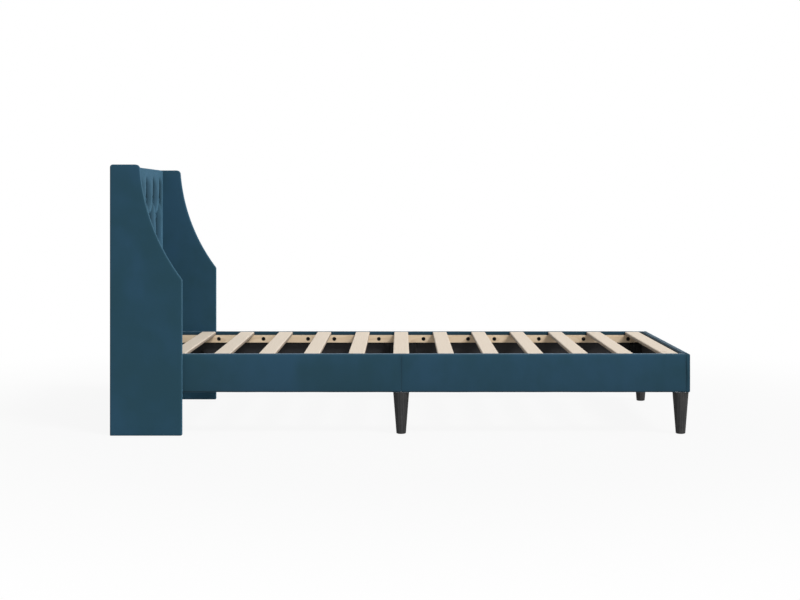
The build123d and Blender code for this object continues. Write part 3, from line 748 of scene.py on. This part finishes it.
def pad_relief(y, z, sizes):
    """How far the pad's face stands out, its crease shade, its pins and the fade at its edges."""
    pleats, buttons = tuft_layout(sizes)
    rise = np.ones_like(y)
    near = np.full_like(y, pad_top)
    for start, end, share in pleats:
        away = segment_distance(y, z, start, end)
        if share == 1:
            near = np.minimum(near, away)
        fall = SOFT_FALL * np.exp(-away / sizes.softness) + SHARP_FALL * np.exp(-away / sizes.crease)
        rise *= 1 - share * fall
    pucker = np.zeros_like(y)
    for number, (button_y, button_z) in enumerate(buttons):
        away = np.hypot(y - button_y, z - button_z)
        near = np.minimum(near, away - sizes.button_radius * BUTTON_PIN)
        rise *= 1 - CRATER_DEPTH * np.exp(-((away / CRATER_RADIUS) ** 2))
        folds = np.sin(np.arctan2(z - button_z, y - button_y) * PUCKERS + number * 1.7)
        pucker += folds * np.exp(-((away - PUCKER_RADIUS) / PUCKER_WIDTH) ** 2) * PUCKER_HEIGHT
    fade = smoothstep((pad_top - sizes.border - z) / TOP_FADE) * smoothstep((z - pad_foot) / FOOT_FADE)
    fade = fade * smoothstep((pad_half - SIDE_BORDER - np.abs(y)) / SIDE_FADE)
    relief = (-sizes.pleat_depth + sizes.swell * rise + pucker) * fade
    relief -= GROOVE_DEPTH * np.exp(-np.abs(z - pad_foot) / GROOVE_WIDTH)
    pins = np.maximum(np.clip(1 - near / PIN_REACH, 0, 1), 1 - smoothstep(fade * 2))
    upper_z = pad_top - sizes.upper_drop
    between = smoothstep((upper_z + ROWS_FADE / 2 - z) / ROWS_FADE)
    between *= smoothstep((z - upper_z + sizes.row_spacing + ROWS_MARGIN) / ROWS_FADE)
    # Painted shade: the crease value darkens the velvet in the pleats, and less between the rows.
    crease = np.clip(SHADE_LEVEL - rise * SHADE_GAIN, 0, 1) ** SHADE_POWER * fade
    crease = crease * (1 - sizes.between_light * between)
    return relief, crease, pins, fade


def settled(ys, zs, start, pins):
    """Forward movement of a cloth grid that a soft filling presses out between its pins."""
    count = len(zs)
    points = np.stack([start, *np.meshgrid(ys, zs, indexing="ij")], axis=-1).reshape(-1, 3)
    faces = [
        (i * count + j, (i + 1) * count + j, (i + 1) * count + j + 1, i * count + j + 1)
        for i in range(len(ys) - 1) for j in range(count - 1)
    ]
    mesh = bpy.data.meshes.new("pad_cloth")
    mesh.from_pydata(points.tolist(), [], faces)
    piece = linked("pad_cloth", mesh)
    held = piece.vertex_groups.new(name="pins")
    for number, weight in enumerate(pins.ravel()):
        if weight > 0.001:
            held.add([number], float(weight), "REPLACE")
    modifier = piece.modifiers.new("Cloth", "CLOTH")
    for key, value in CLOTH.items():
        setattr(modifier.settings, key, value)
    modifier.settings.effector_weights.gravity = 0
    modifier.collision_settings.use_collision = False
    modifier.point_cache.frame_start = 1
    modifier.point_cache.frame_end = CLOTH_FRAMES
    for step in range(1, CLOTH_FRAMES + 1):
        bpy.context.scene.frame_set(step)
    moved = piece.evaluated_get(bpy.context.evaluated_depsgraph_get()).to_mesh()
    after = np.empty(points.size)
    moved.vertices.foreach_get("co", after)
    piece.to_mesh_clear()
    bpy.data.objects.remove(piece)
    bpy.context.scene.frame_set(1)
    lift = after.reshape(*start.shape, 3)[..., 0] - start
    for _ in range(CLOTH_SMOOTHING):
        around = np.pad(lift, 1, mode="edge")
        sides = around[:-2, 1:-1] + around[2:, 1:-1] + around[1:-1, :-2] + around[1:-1, 2:]
        lift = (lift + sides / 4) / 2
    return lift * (1 - pins)


def pad_lift(sizes, to_y, to_z):
    """Swelling of the pad on the finer grid, settled as cloth."""
    ys = np.linspace(-pad_half, pad_half, int(2 * pad_half / sizes.cloth_cell))
    zs = np.linspace(pad_foot, pad_top - sizes.border / 2, int((pad_top - pad_foot) / sizes.cloth_cell))
    start, _, pins, fade = pad_relief(*np.meshgrid(ys, zs, indexing="ij"), sizes)
    lift = np.clip(settled(ys, zs, start, pins) * sizes.cloth_share, -CLOTH_SINK, sizes.cloth_lift)
    along = np.array([np.interp(to_z, zs, row, 0, 0) for row in lift])
    return np.array([np.interp(to_y, ys, column, 0, 0) for column in along.T]).T


def headboard_mesh():
    """Closed velvet skin of the headboard: tufted face, rounded brow, sides and a margin on the back."""
    sizes = bpy.context.scene.bed_tufting
    front = rail_low.x
    back = cover_low.x
    bottom = cover_low.z
    brow = sizes.brow_radius
    limits = [bottom + 0.004, *(pad_foot + z for z in (-0.008, 0.012, 0.06))]
    limits += [pad_top - 0.25, pad_top - 0.012]
    rows = [
        z for low, high, cell in zip(limits, limits[1:], ROW_CELLS)
        for z in steps(low, high, cell)
    ] + [pad_top - brow]
    columns = steps(-pad_half + SIDE_RADIUS, pad_half - SIDE_RADIUS, FINE_CELL) + [pad_half - SIDE_RADIUS]
    relief, crease, _, _ = pad_relief(*np.meshgrid(columns, rows, indexing="ij"), sizes)
    lift = pad_lift(sizes, np.array(columns), np.array(rows))
    face_x = front + np.maximum(relief + lift, -sizes.pleat_depth)

    lip = wing_low.y - pad_half - LIP_GAP
    lip_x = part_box("wing_brackets")[1].x + LIP_GAP
    lip_z = pad_top - brow + math.sqrt(brow ** 2 - (lip_x - front + brow) ** 2)

    def loop(column, inset):
        y = columns[column]
        points = [(front - FOLD_DEPTH - inset, y, bottom + inset)]
        points += [(x - inset, y, min(z, pad_top - brow)) for x, z in zip(face_x[column], rows)]
        turn = arc((front - brow, pad_top - brow), brow - inset * 0.5, 0, 90, 7)[1:]
        points += [(x, y, z - inset * 0.5) for x, z in turn]
        points += [(back + FOLD_DEPTH, y, pad_top - inset), (back, y, pad_top - FOLD_DEPTH - inset)]
        return points + [(back, y, z) for z in (pad_top - 0.05, pad_top / 2, bottom + 0.05, bottom + inset)]

    def side_rings(side, column):
        outermost = [(side * (pad_half + lip - depth), loop(column, inset)) for inset, depth in rim(lip)]
        turned = [[(max(x, lip_x), y, min(z, lip_z)) for x, _, z in points] for y, points in outermost]
        return turned[::-1] + [[(x, side * pad_half, z) for x, _, z in loop(column, 0)]]

    near = side_rings(-1, 0)
    rings = near + [loop(column, 0) for column in range(1, len(columns) - 1)]
    rings += side_rings(1, len(columns) - 1)[::-1]
    shade = np.zeros((len(rings), len(rings[0])))
    shade[len(near):len(near) + len(columns) - 2, 1:len(rows) + 1] = crease[1:-1]
    return loft("headboard_velvet", rings, crease=shade.ravel())


class BED_OT_headboard(Operator):
    """Make the tufted velvet of the headboard."""
    bl_idname = "bed.headboard"
    bl_label = "Headboard"

    def execute(self, context):
        finish = context.scene.bed_velvet
        mesh = headboard_mesh()
        mesh.materials.append(
            velvet("Headboard Velvet", finish.headboard_sheen, finish.head_tint, 5.0, painted_crease_shade=True)
        )
        piece = finish_mesh("headboard_velvet", mesh, "velvet", "headboard_cover", "headboard_foam")
        return {"FINISHED"}


class BED_OT_buttons(Operator):
    """Make the covered buttons of the headboard."""
    bl_idname = "bed.buttons"
    bl_label = "Buttons"

    def execute(self, context):
        sizes = context.scene.bed_tufting
        finish = context.scene.bed_velvet
        pitch = 2 * pad_half / sizes.columns
        upper_z = pad_top - sizes.upper_drop
        x = rail_low.x - BUTTON_SINK
        values = {
            "Upper Start": (x, -pitch * (sizes.columns - 1) / 2, upper_z),
            "Lower Start": (x, -pitch * (sizes.columns - 2) / 2, upper_z - sizes.row_spacing),
            "Upper Count": sizes.columns, "Pitch": pitch, "Radius": sizes.button_radius,
            "Height": BUTTON_HEIGHT, "Seed": 5,
            "Material": velvet("Button Velvet", finish.headboard_sheen, finish.head_tint, 30.0),
        }
        piece = grown("headboard_button_tops", button_tree(), values, "velvet", "headboard_buttons")
        return {"FINISHED"}


# Wings

# The hollow front edge, the corners' radii, the velvet's edge on the inner face, and the outer face's
# swelling as inset and share
WING_TOP_DEPTH = 0.105
WING_SHOULDER = 0.561
WING_ARC_RADIUS = 0.763
WING_RADII = {"foot": 0.003, "heel": 0.010, "crown": 0.016, "shoulder": 0.012}
LEAST_RADIUS = 0.0004
WING_BACK = 0.04
WING_DOME = ((0.012, 0.45), (0.024, 0.8), (0.042, 1))


def hollow_centre():
    """Centre of the arc from the wing's shoulder up to its crown."""
    shoulder = Vector((wing_high.x, WING_SHOULDER))
    crown = Vector((wing_low.x + WING_TOP_DEPTH, wing_high.z))
    chord = crown - shoulder
    leg = math.sqrt(WING_ARC_RADIUS ** 2 - (chord.length / 2) ** 2)
    return (shoulder + crown) / 2 - Vector((-chord.y, chord.x)).normalized() * leg


def wing_outline(inset):
    """Side view of a wing, drawn in by an inset."""
    low_x = wing_low.x + inset
    high_x = wing_high.x - inset
    high_z = wing_high.z - inset
    centre = hollow_centre()
    hollow = WING_ARC_RADIUS + inset
    foot, heel, crown, shoulder = (max(radius - inset, LEAST_RADIUS) for radius in WING_RADII.values())
    foot_z = inset + foot
    crown_z = high_z - crown
    crown_x = centre[0] - math.sqrt((hollow + crown) ** 2 - (crown_z - centre[1]) ** 2)
    shoulder_x = high_x - shoulder
    shoulder_z = centre[1] - math.sqrt((hollow + shoulder) ** 2 - (shoulder_x - centre[0]) ** 2)
    crown_angle = math.degrees(math.atan2(centre[1] - crown_z, centre[0] - crown_x))
    shoulder_angle = math.degrees(math.atan2(centre[1] - shoulder_z, centre[0] - shoulder_x))
    points = arc((low_x + foot, foot_z), foot, 270, 180, 5)
    points += spread(points[-1], (low_x, high_z - heel), 30)
    points += arc((low_x + heel, high_z - heel), heel, 180, 90, 6)
    points += spread(points[-1], (crown_x, high_z), 5)
    points += arc((crown_x, crown_z), crown, 90, crown_angle, 7)
    points += arc(centre, hollow, crown_angle + 180, shoulder_angle + 180, 40)[1:-1]
    points += arc((shoulder_x, shoulder_z), shoulder, shoulder_angle, 0, 6)
    points += spread(points[-1], (high_x, foot_z), 20)
    points += arc((high_x - foot, foot_z), foot, 0, -90, 5)
    return points + spread(points[-1], points[0], 8)


def wing_mesh(side):
    """Padded velvet of one wing, rounded at its rims and crowned on its outer face."""
    sizes = bpy.context.scene.bed_covers
    inner = wing_low.y
    outer = wing_high.y
    edge = rim(sizes.edge_radius)
    layers = [(WING_BACK, inner)] + [(inset, inner + depth) for inset, depth in reversed(edge)]
    layers += spread((0, inner + sizes.edge_radius), (0, outer - sizes.edge_radius), 3)
    layers += [(inset, outer - depth) for inset, depth in edge]
    layers += [(inset, outer + sizes.crown * share) for inset, share in WING_DOME]
    return loft("wing_velvet", [[(x, side * y, z) for x, z in wing_outline(inset)] for inset, y in layers])


class BED_OT_wings(Operator):
    """Make the padded velvet of both wings."""
    bl_idname = "bed.wings"
    bl_label = "Wings"

    def execute(self, context):
        finish = context.scene.bed_velvet
        material = velvet("Wing Velvet", finish.frame_sheen, finish.head_tint, FRAME_PATCHES)
        for name, side in SIDES.items():
            mesh = wing_mesh(side)
            mesh.materials.append(material)
            piece = finish_mesh("wing_velvet_" + name, mesh, "velvet", "wing_cover_" + name)
        return {"FINISHED"}


# Rails

# Mesh length, the hem inside and the toe below it, the least upward slope of a top face, and how far from
# its ends a rail is flatter
RAIL_CELL = 0.012
FOLD, HEM_EDGE = 0.0012, 0.0008
TOE_HIGH, TOE_LOW, TOE_IN = 0.003, 0.002, 0.001
TOP_SLOPE = 0.6
END_RUN, FOOT_END_RUN = 0.06, 0.05


def rail_section(inset, outer, inner, low, high, radius, brow, crown, dome, fold=FOLD):
    """Section of a rail cover as depth and height: rounded outside, hemmed inside."""
    hem = high - bpy.context.scene.bed_covers.hem
    outer -= inset
    high -= inset
    low += inset
    lower = low + radius
    upper = high - radius
    middle = (lower + upper) / 2
    points = arc((outer - radius, lower), radius, -90, 0, 6)
    points += [
        (y + crown * (1 - ((z - middle) / (upper - middle)) ** 4), z)
        for y, z in spread((outer, lower), (outer, upper), 12)
    ]
    points += arc((outer - radius, upper), radius, 0, 90, 6)
    brim = spread((outer - radius, high), (inner + brow, high), 7)
    points += [(y, z + dome * (1 - ((step - 3) / 4) ** 2)) for step, (y, z) in enumerate(brim)]
    points += arc((inner + brow, high - brow), brow, 90, 180, 6)
    points += [(inner, hem), (inner + fold, hem - HEM_EDGE), (inner + fold, low + TOE_HIGH + fold)]
    return points + [(inner, low + TOE_LOW + fold), (inner + TOE_IN, low)]


def rail_mesh(side, low, high):
    """Padded velvet of one rail half, rounded at both ends."""
    sizes = bpy.context.scene.bed_covers
    edge = rim(sizes.seam_radius)
    stations = [(inset, low.x + depth) for inset, depth in reversed(edge)]
    stations += [(0, x) for x in steps(low.x + sizes.seam_radius, high.x - sizes.seam_radius, RAIL_CELL)[1:]]
    stations += [(inset, high.x - depth) for inset, depth in edge]
    rings = []
    for inset, x in stations:
        crown = sizes.crown * min(1, min(x - low.x, high.x - x) / END_RUN)
        section = rail_section(
            inset, high.y, low.y, low.z, high.z, sizes.rail_radius, sizes.edge_radius, crown, crown
        )
        rings.append([(x, side * y, z) for y, z in section])
    return loft("rail_velvet", rings)


def rail_velvets(name, *shares):
    """Velvets of a rail's outside, of its inner edge, whose weaker sheen is painted shade, and of its top,
    whose stronger sheen is a painted highlight.
    """
    finish = bpy.context.scene.bed_velvet
    return [
        velvet(name + label, finish.frame_sheen * share, finish.rail_tint, FRAME_PATCHES, painted_crease_shade=True)
        for label, share in zip(("", " Inside", " Top"), shares)
    ]


def shade_rail(mesh, depth, foot, top, share, ends=None):
    """Paint shade into a rail's velvet towards its inner top edge, its foot and its ends, and give its top
    face the brighter velvet as a painted highlight.
    """
    finish = bpy.context.scene.bed_velvet
    above = top - finish.inside_reach
    shade = []
    for vertex in mesh.vertices:
        height = vertex.co.z - foot
        inside = max(0.0, 1 - depth(vertex.co) / finish.inside_reach) if vertex.co.z > above else 0.0
        fall = finish.foot_fall * (1 - height / (top - foot))
        edge = finish.foot_edge * max(0.0, 1 - height / finish.foot_reach)
        away = min(vertex.co.x - ends[0], ends[1] - vertex.co.x) if ends else finish.seam_reach
        seam = finish.seam_shade * max(0.0, 1 - away / finish.seam_reach)
        shade.append(min(1.0, max(share * inside, fall + edge, seam)))
    mesh.attributes.new("crease", "FLOAT", "POINT").data.foreach_set("value", shade)
    # The inner top edge takes the duller velvet as painted shade; the top face takes the brighter one as a
    # painted highlight.
    for face in mesh.polygons:
        if depth(face.center) < finish.inside_edge:
            face.material_index = 1 if face.center.z > above else 0
        elif abs(face.normal.z) > TOP_SLOPE and face.center.z > above:
            face.material_index = 2


class BED_OT_rails(Operator):
    """Make the padded velvet of the four side rail halves."""
    bl_idname = "bed.rails"
    bl_label = "Side Rails"

    def execute(self, context):
        materials = rail_velvets("Rail Velvet", 1.15, 0.2, 1.8)
        halves = [(half, name) for half in ("head", "foot") for name in SIDES]
        for number, (half, name) in enumerate(halves):
            low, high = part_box(f"rail_cover_{half}_right")
            mesh = rail_mesh(SIDES[name], low, high)
            ripple(mesh, context.scene.bed_covers.ripple, number + 1)
            for material in materials:
                mesh.materials.append(material)
            shade_rail(mesh, lambda point: abs(point.y) - low.y, low.z, high.z, 0.4, (low.x, high.x))
            piece = finish_mesh(f"rail_velvet_{half}_{name}", mesh, "velvet", f"rail_cover_{half}_{name}")
        return {"FINISHED"}


def foot_mesh():
    """Padded velvet of the foot rail: a wide outer layer and a narrow inner one."""
    sizes = bpy.context.scene.bed_covers
    radius = sizes.edge_radius
    end = foot_high.y
    narrow = rail_low.y
    edge = rim(radius)
    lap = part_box("rail_cover_foot_right")[1].x

    def section(inset, inner, share):
        crown = sizes.crown * share
        brow, fold = (radius, 0) if inner == lap else (sizes.foot_brow, FOLD)
        box = foot_high.x, inner, foot_low.z, foot_high.z
        return rail_section(inset, *box, radius, brow, crown, crown / sizes.crown * sizes.foot_dome, fold)

    stations = [(inset, -end + depth, lap) for inset, depth in reversed(edge)]
    stations += [(0, y, lap) for (y,) in spread((-end + radius,), (-narrow,), 2)] + [(0, -narrow, lap)]
    stations += [(0, y, foot_low.x) for y in steps(-narrow, narrow, RAIL_CELL)] + [(0, narrow, foot_low.x)]
    stations += [(0, narrow, lap)] + [(0, y, lap) for (y,) in spread((narrow,), (end - radius,), 2)]
    stations += [(inset, end - depth, lap) for inset, depth in edge]
    return loft("foot_velvet", [
        [(x, y, z) for x, z in section(inset, inner, min(1, (end - abs(y)) / FOOT_END_RUN))]
        for inset, y, inner in stations
    ])


class BED_OT_foot(Operator):
    """Make the padded velvet of the foot rail."""
    bl_idname = "bed.foot"
    bl_label = "Foot Rail"

    def execute(self, context):
        mesh = foot_mesh()
        ripple(mesh, context.scene.bed_covers.ripple, 9)
        # The foot rail's velvets carry a weaker sheen than the side rails' of the same cloth, as painted
        # shade; its inner edge is painted shade and its top a painted highlight.
        for material in rail_velvets("Foot Velvet", 0.55, 0.1, 0.8):
            mesh.materials.append(material)
        shade_rail(mesh, lambda point: point.x - foot_low.x, foot_low.z, foot_high.z, 1.0)
        piece = finish_mesh("foot_velvet", mesh, "velvet", "foot_cover")
        return {"FINISHED"}


# Slatted base and legs

class BED_OT_slats(Operator):
    """Make the pine slats."""
    bl_idname = "bed.slats"
    bl_label = "Slats"

    def execute(self, context):
        sizes = context.scene.bed_wood
        names = sorted(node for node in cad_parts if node.startswith("slat_"))
        first, last = (sum(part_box(name), Vector()) / 2 for name in (names[0], names[-1]))
        span = slat_high - slat_low
        values = {
            "First": tuple(first), "Step": ((last.x - first.x) / (len(names) - 1), 0, 0),
            "Count": len(names), "Width": span.x, "Thickness": span.z, "Length": span.y,
            "Edge": sizes.slat_edge, "Seed": 3,
            "Material": wood("Slat Pine", sizes.pine_light, sizes.pine_dark, "Y", 2.0, knots=0.3, slat=True),
        }
        piece = grown("slats", slat_tree(), values, "pine", *names)
        piece.data.shade_flat()
        return {"FINISHED"}


class BED_OT_woodwork(Operator):
    """Give the ledgers, blocks, boards and legs their wood."""
    bl_idname = "bed.woodwork"
    bl_label = "Woodwork"

    def execute(self, context):
        sizes = context.scene.bed_wood
        light = sizes.ledger_light
        ledgers = sorted(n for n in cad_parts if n.startswith("ledger_") and n != "ledger_bolts")
        for number, node in enumerate(ledgers):
            name = f"Ledger Pine {number + 1}"
            dress(wood(name, light, sizes.ledger_dark, "X", 3.1 * number + 1, 75.0, 0.25), node)
        dress(wood("Board Pine", light, sizes.pine_dark, "X", 8.8), "rail_board", "foot_board")
        plywood = wood("Plywood", (0.6, 0.45, 0.3), (0.42, 0.29, 0.18), "Z", 4.4, 30.0, 0.4)
        dress(plywood, "headboard_board", "wing_board")
        dress(stained("Black Stain"), "leg_mid", "leg_foot")
        dress(stained("Block Stain", 0.5, 0.1), "head_block", "mid_block", "corner_block")
        return {"FINISHED"}


# Thin cloth and fittings

# Mesh length, the hem, the cloth's waves, how fast it comes off its edges, and its pull at the tacks
SHEET_CELL = 0.007
SHEET_HEM, HEM_FOLD = 0.022, 0.0004
SHEET_WAVES = 0.16
MIDDLE_RUN, EDGE_RUN = 0.09, 0.004
TUG_SHARE, TUG_REACH = 0.55, 0.02
LINING_LIFT, LINING_TUG = 0.0006, 0.064


def sheet_mesh(name, wide, high, face, back, order, lift, tug):
    """Thin tacked cloth over a rectangle, hemmed and pulled in at even tacks. face and back are its depths,
    order turns width, height and depth into a point, and lift is how far it stands off between tacks."""
    side = 1 if face > back else -1

    def put(*place):
        return tuple(place[axis] for axis in order)

    def slack(u, v):
        across = min(u - wide[0], wide[1] - u)
        along = min(v - high[0], high[1] - v)
        away = min(across, along)
        pull = 0.5 - 0.5 * math.cos(2 * math.pi * (v if across < along else u) / tug)
        wave = 0.5 + 0.5 * noise.noise(Vector((u / SHEET_WAVES, v / SHEET_WAVES, wide[1] * 7)))
        middle = wave * min(1, away / MIDDLE_RUN)
        fold = HEM_FOLD if away < SHEET_HEM else 0
        loose = TUG_SHARE * pull * math.exp(-away / TUG_REACH) + middle
        return fold + lift * loose * min(1, away / EDGE_RUN)

    rows = steps(high[0], high[1], SHEET_CELL) + [high[1]]
    return loft(name, [
        [put(u, v, face + side * slack(u, v)) for v in rows] + [put(u, high[1], back), put(u, high[0], back)]
        for u in steps(wide[0], wide[1], SHEET_CELL) + [wide[1]]
    ])


class BED_OT_linings(Operator):
    """Make the thin black cloth behind the headboard and inside the rails."""
    bl_idname = "bed.linings"
    bl_label = "Linings"

    def execute(self, context):
        material = cloth("Lining Cloth", (0.022, 0.0215, 0.0225), (0.046, 0.045, 0.047))
        sheets = []
        for name, node, board, lift, tug in (
            ("back_cloth", "headboard_back_cloth", "headboard_board", 0.0016, 0.058),
            ("foot_lining_cloth", "foot_lining", "foot_board", LINING_LIFT, LINING_TUG),
        ):
            low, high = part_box(node)
            shape = (low.y, high.y), (low.z, high.z), low.x, high.x, (2, 0, 1), lift, tug
            sheets.append((name, node, board, shape))
        low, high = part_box("rail_linings")
        for half in ("head", "foot"):
            start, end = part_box(f"rail_cover_{half}_right")
            for name, side in SIDES.items():
                faces = side * start.y, side * high.y
                shape = (start.x, end.x), (low.z, high.z), *faces, (0, 2, 1), LINING_LIFT, LINING_TUG
                where = f"{half}_{name}"
                sheets.append(("rail_lining_" + where, "rail_linings", "rail_board_" + where, shape))
        for name, node, board, shape in sheets:
            mesh = sheet_mesh(name, *shape)
            mesh.materials.append(material)
            piece = finish_mesh(name, mesh, "lining_cloth", node)
        return {"FINISHED"}


class BED_OT_fittings(Operator):
    """Give the bolts, plates, screws and glides their finish."""
    bl_idname = "bed.fittings"
    bl_label = "Fittings"

    def execute(self, context):
        zinc = hard("Zinc Steel", (0.62, 0.63, 0.65), (0.45, 0.45, 0.46), 1.0, 0.28, 0.5, 90.0)
        dark, rusty = (0.007, 0.0065, 0.006), (0.016, 0.014, 0.012)
        black = hard("Black Steel", dark, rusty, 0.0, 0.6, 0.75, 120.0, 0.15)
        plastic = hard("Glide Plastic", (0.02, 0.02, 0.02), (0.06, 0.06, 0.06), 0.0, 0.5, 0.7, 80.0)
        dress(black, "ledger_bolts", "joint_bolts", "wing_bolts", "block_screws")
        dress(zinc, "leg_plates", "hanger_bolts", "tee_nuts", "short_screws", "wing_brackets")
        dress(plastic, "leg_glides")
        return {"FINISHED"}


# Stage

FLOOR_REACH = 30.0
LAMP_TARGET = Vector((0, 0, 0.3))
LAMPS = (("key_lamp", (2.6, -2.4, 4.2), 16, "key"), ("front_lamp", (1.6, -6.5, 1.7), 28, "front"))
CAMERA_PLACE = (0.0016, -5.9195, 0.8392)
CAMERA_SHIFT = (-0.0015, -0.1216)
WHITE = (1, 1, 1, 1)


def floor_material(colour):
    """Pale floor that keeps the shadow near the bed and fades to white."""
    material, tree, shader, vector = new_material("Floor")
    feed(tree, shader, {"Base Color": rgba(colour), "Roughness": 0.9, "Specular IOR Level": 0.0})
    away = add(tree, "ShaderNodeVectorMath", {0: vector}, operation="LENGTH").outputs["Value"]
    rays = tree.nodes.new("ShaderNodeLightPath").outputs
    seen = maths(tree, "MULTIPLY", rays["Is Camera Ray"], ranged(tree, away, 1.2, 3.2, 0.91, 1))
    white = add(tree, "ShaderNodeEmission", {"Color": WHITE, "Strength": 1.0})
    mix = add(tree, "ShaderNodeMixShader", {0: seen, 1: shader, 2: white})
    feed(tree, tree.nodes["Material Output"], {"Surface": mix})
    return material


def make_world(strength):
    """Even light all round, white where the camera, gloss or glass sees it."""
    world = bpy.data.worlds.new("Studio")
    bpy.context.scene.world = world
    world.use_nodes = True
    tree = world.node_tree
    tree.nodes.clear()
    rays = tree.nodes.new("ShaderNodeLightPath").outputs
    seen = maths(tree, "MAXIMUM", rays["Is Glossy Ray"], rays["Is Transmission Ray"])
    seen = maths(tree, "MAXIMUM", rays["Is Camera Ray"], seen)
    even, white = (
        add(tree, "ShaderNodeBackground", {"Color": WHITE, "Strength": level}) for level in (strength, 1.0)
    )
    mix = add(tree, "ShaderNodeMixShader", {0: seen, 1: even, 2: white})
    add(tree, "ShaderNodeOutputWorld", {"Surface": mix})


class BED_OT_stage(Operator):
    """Make the floor, the lamps, the sky and the camera."""
    bl_idname = "bed.stage"
    bl_label = "Stage"

    def execute(self, context):
        scene = context.scene
        sizes = scene.bed_stage
        mesh = bpy.data.meshes.new("floor")
        corners = [(x * FLOOR_REACH, y * FLOOR_REACH, 0) for x, y in ((-1, -1), (1, -1), (1, 1), (-1, 1))]
        mesh.from_pydata(corners, [], [(0, 1, 2, 3)])
        mesh.materials.append(floor_material(sizes.floor))
        linked("floor", mesh)
        make_world(sizes.sky)
        for name, place, angle, strength in LAMPS:
            data = bpy.data.lights.new(name, "SUN")
            data.energy = getattr(sizes, strength)
            data.angle = math.radians(angle)
            lamp = linked(name, data)
            lamp.location = place
            lamp.rotation_euler = (LAMP_TARGET - Vector(place)).to_track_quat("-Z", "Y").to_euler()
        data = bpy.data.cameras.new("camera")
        data.lens = sizes.lens
        data.sensor_width = 36
        data.shift_x, data.shift_y = CAMERA_SHIFT
        camera = linked("camera", data)
        camera.location = CAMERA_PLACE
        camera.rotation_euler = (math.pi / 2, 0, 0)
        scene.camera = camera
        scene.view_settings.view_transform = "Standard"
        return {"FINISHED"}


class BED_PT_panel(Panel):
    """Sizes, colours and makers of the bed."""
    bl_idname = "BED_PT_panel"
    bl_label = "Bed"
    bl_space_type = "VIEW_3D"
    bl_region_type = "UI"
    bl_category = "Bed"

    def draw(self, context):
        for name in GROUP_CLASSES:
            settings = getattr(context.scene, name)
            for key in settings.bl_rna.properties.keys():
                if key not in ("rna_type", "name"):
                    self.layout.prop(settings, key)
        for operator in OPERATORS:
            self.layout.operator(operator.bl_idname)


GROUP_CLASSES = {
    "bed_velvet": BedVelvet,
    "bed_tufting": BedTufting,
    "bed_covers": BedCovers,
    "bed_wood": BedWood,
    "bed_stage": BedStage,
}
OPERATORS = (
    BED_OT_stage, BED_OT_headboard, BED_OT_buttons, BED_OT_wings, BED_OT_rails, BED_OT_foot, BED_OT_slats,
    BED_OT_woodwork, BED_OT_linings, BED_OT_fittings,
)


def register():
    """Register the classes and hang the settings on the scene."""
    for cls in (*GROUP_CLASSES.values(), *OPERATORS, BED_PT_panel):
        bpy.utils.register_class(cls)
    for name, cls in GROUP_CLASSES.items():
        setattr(bpy.types.Scene, name, PointerProperty(type=cls))


def unregister():
    """Take the settings and the classes away again."""
    for name in GROUP_CLASSES:
        delattr(bpy.types.Scene, name)
    for cls in (BED_PT_panel, *reversed(OPERATORS), *reversed(GROUP_CLASSES.values())):
        bpy.utils.unregister_class(cls)


def main():
    """Make the whole bed."""
    register()
    for operator in OPERATORS:
        group_name, call = operator.bl_idname.split(".")
        getattr(getattr(bpy.ops, group_name), call)()


if __name__ == "__main__":
    main()
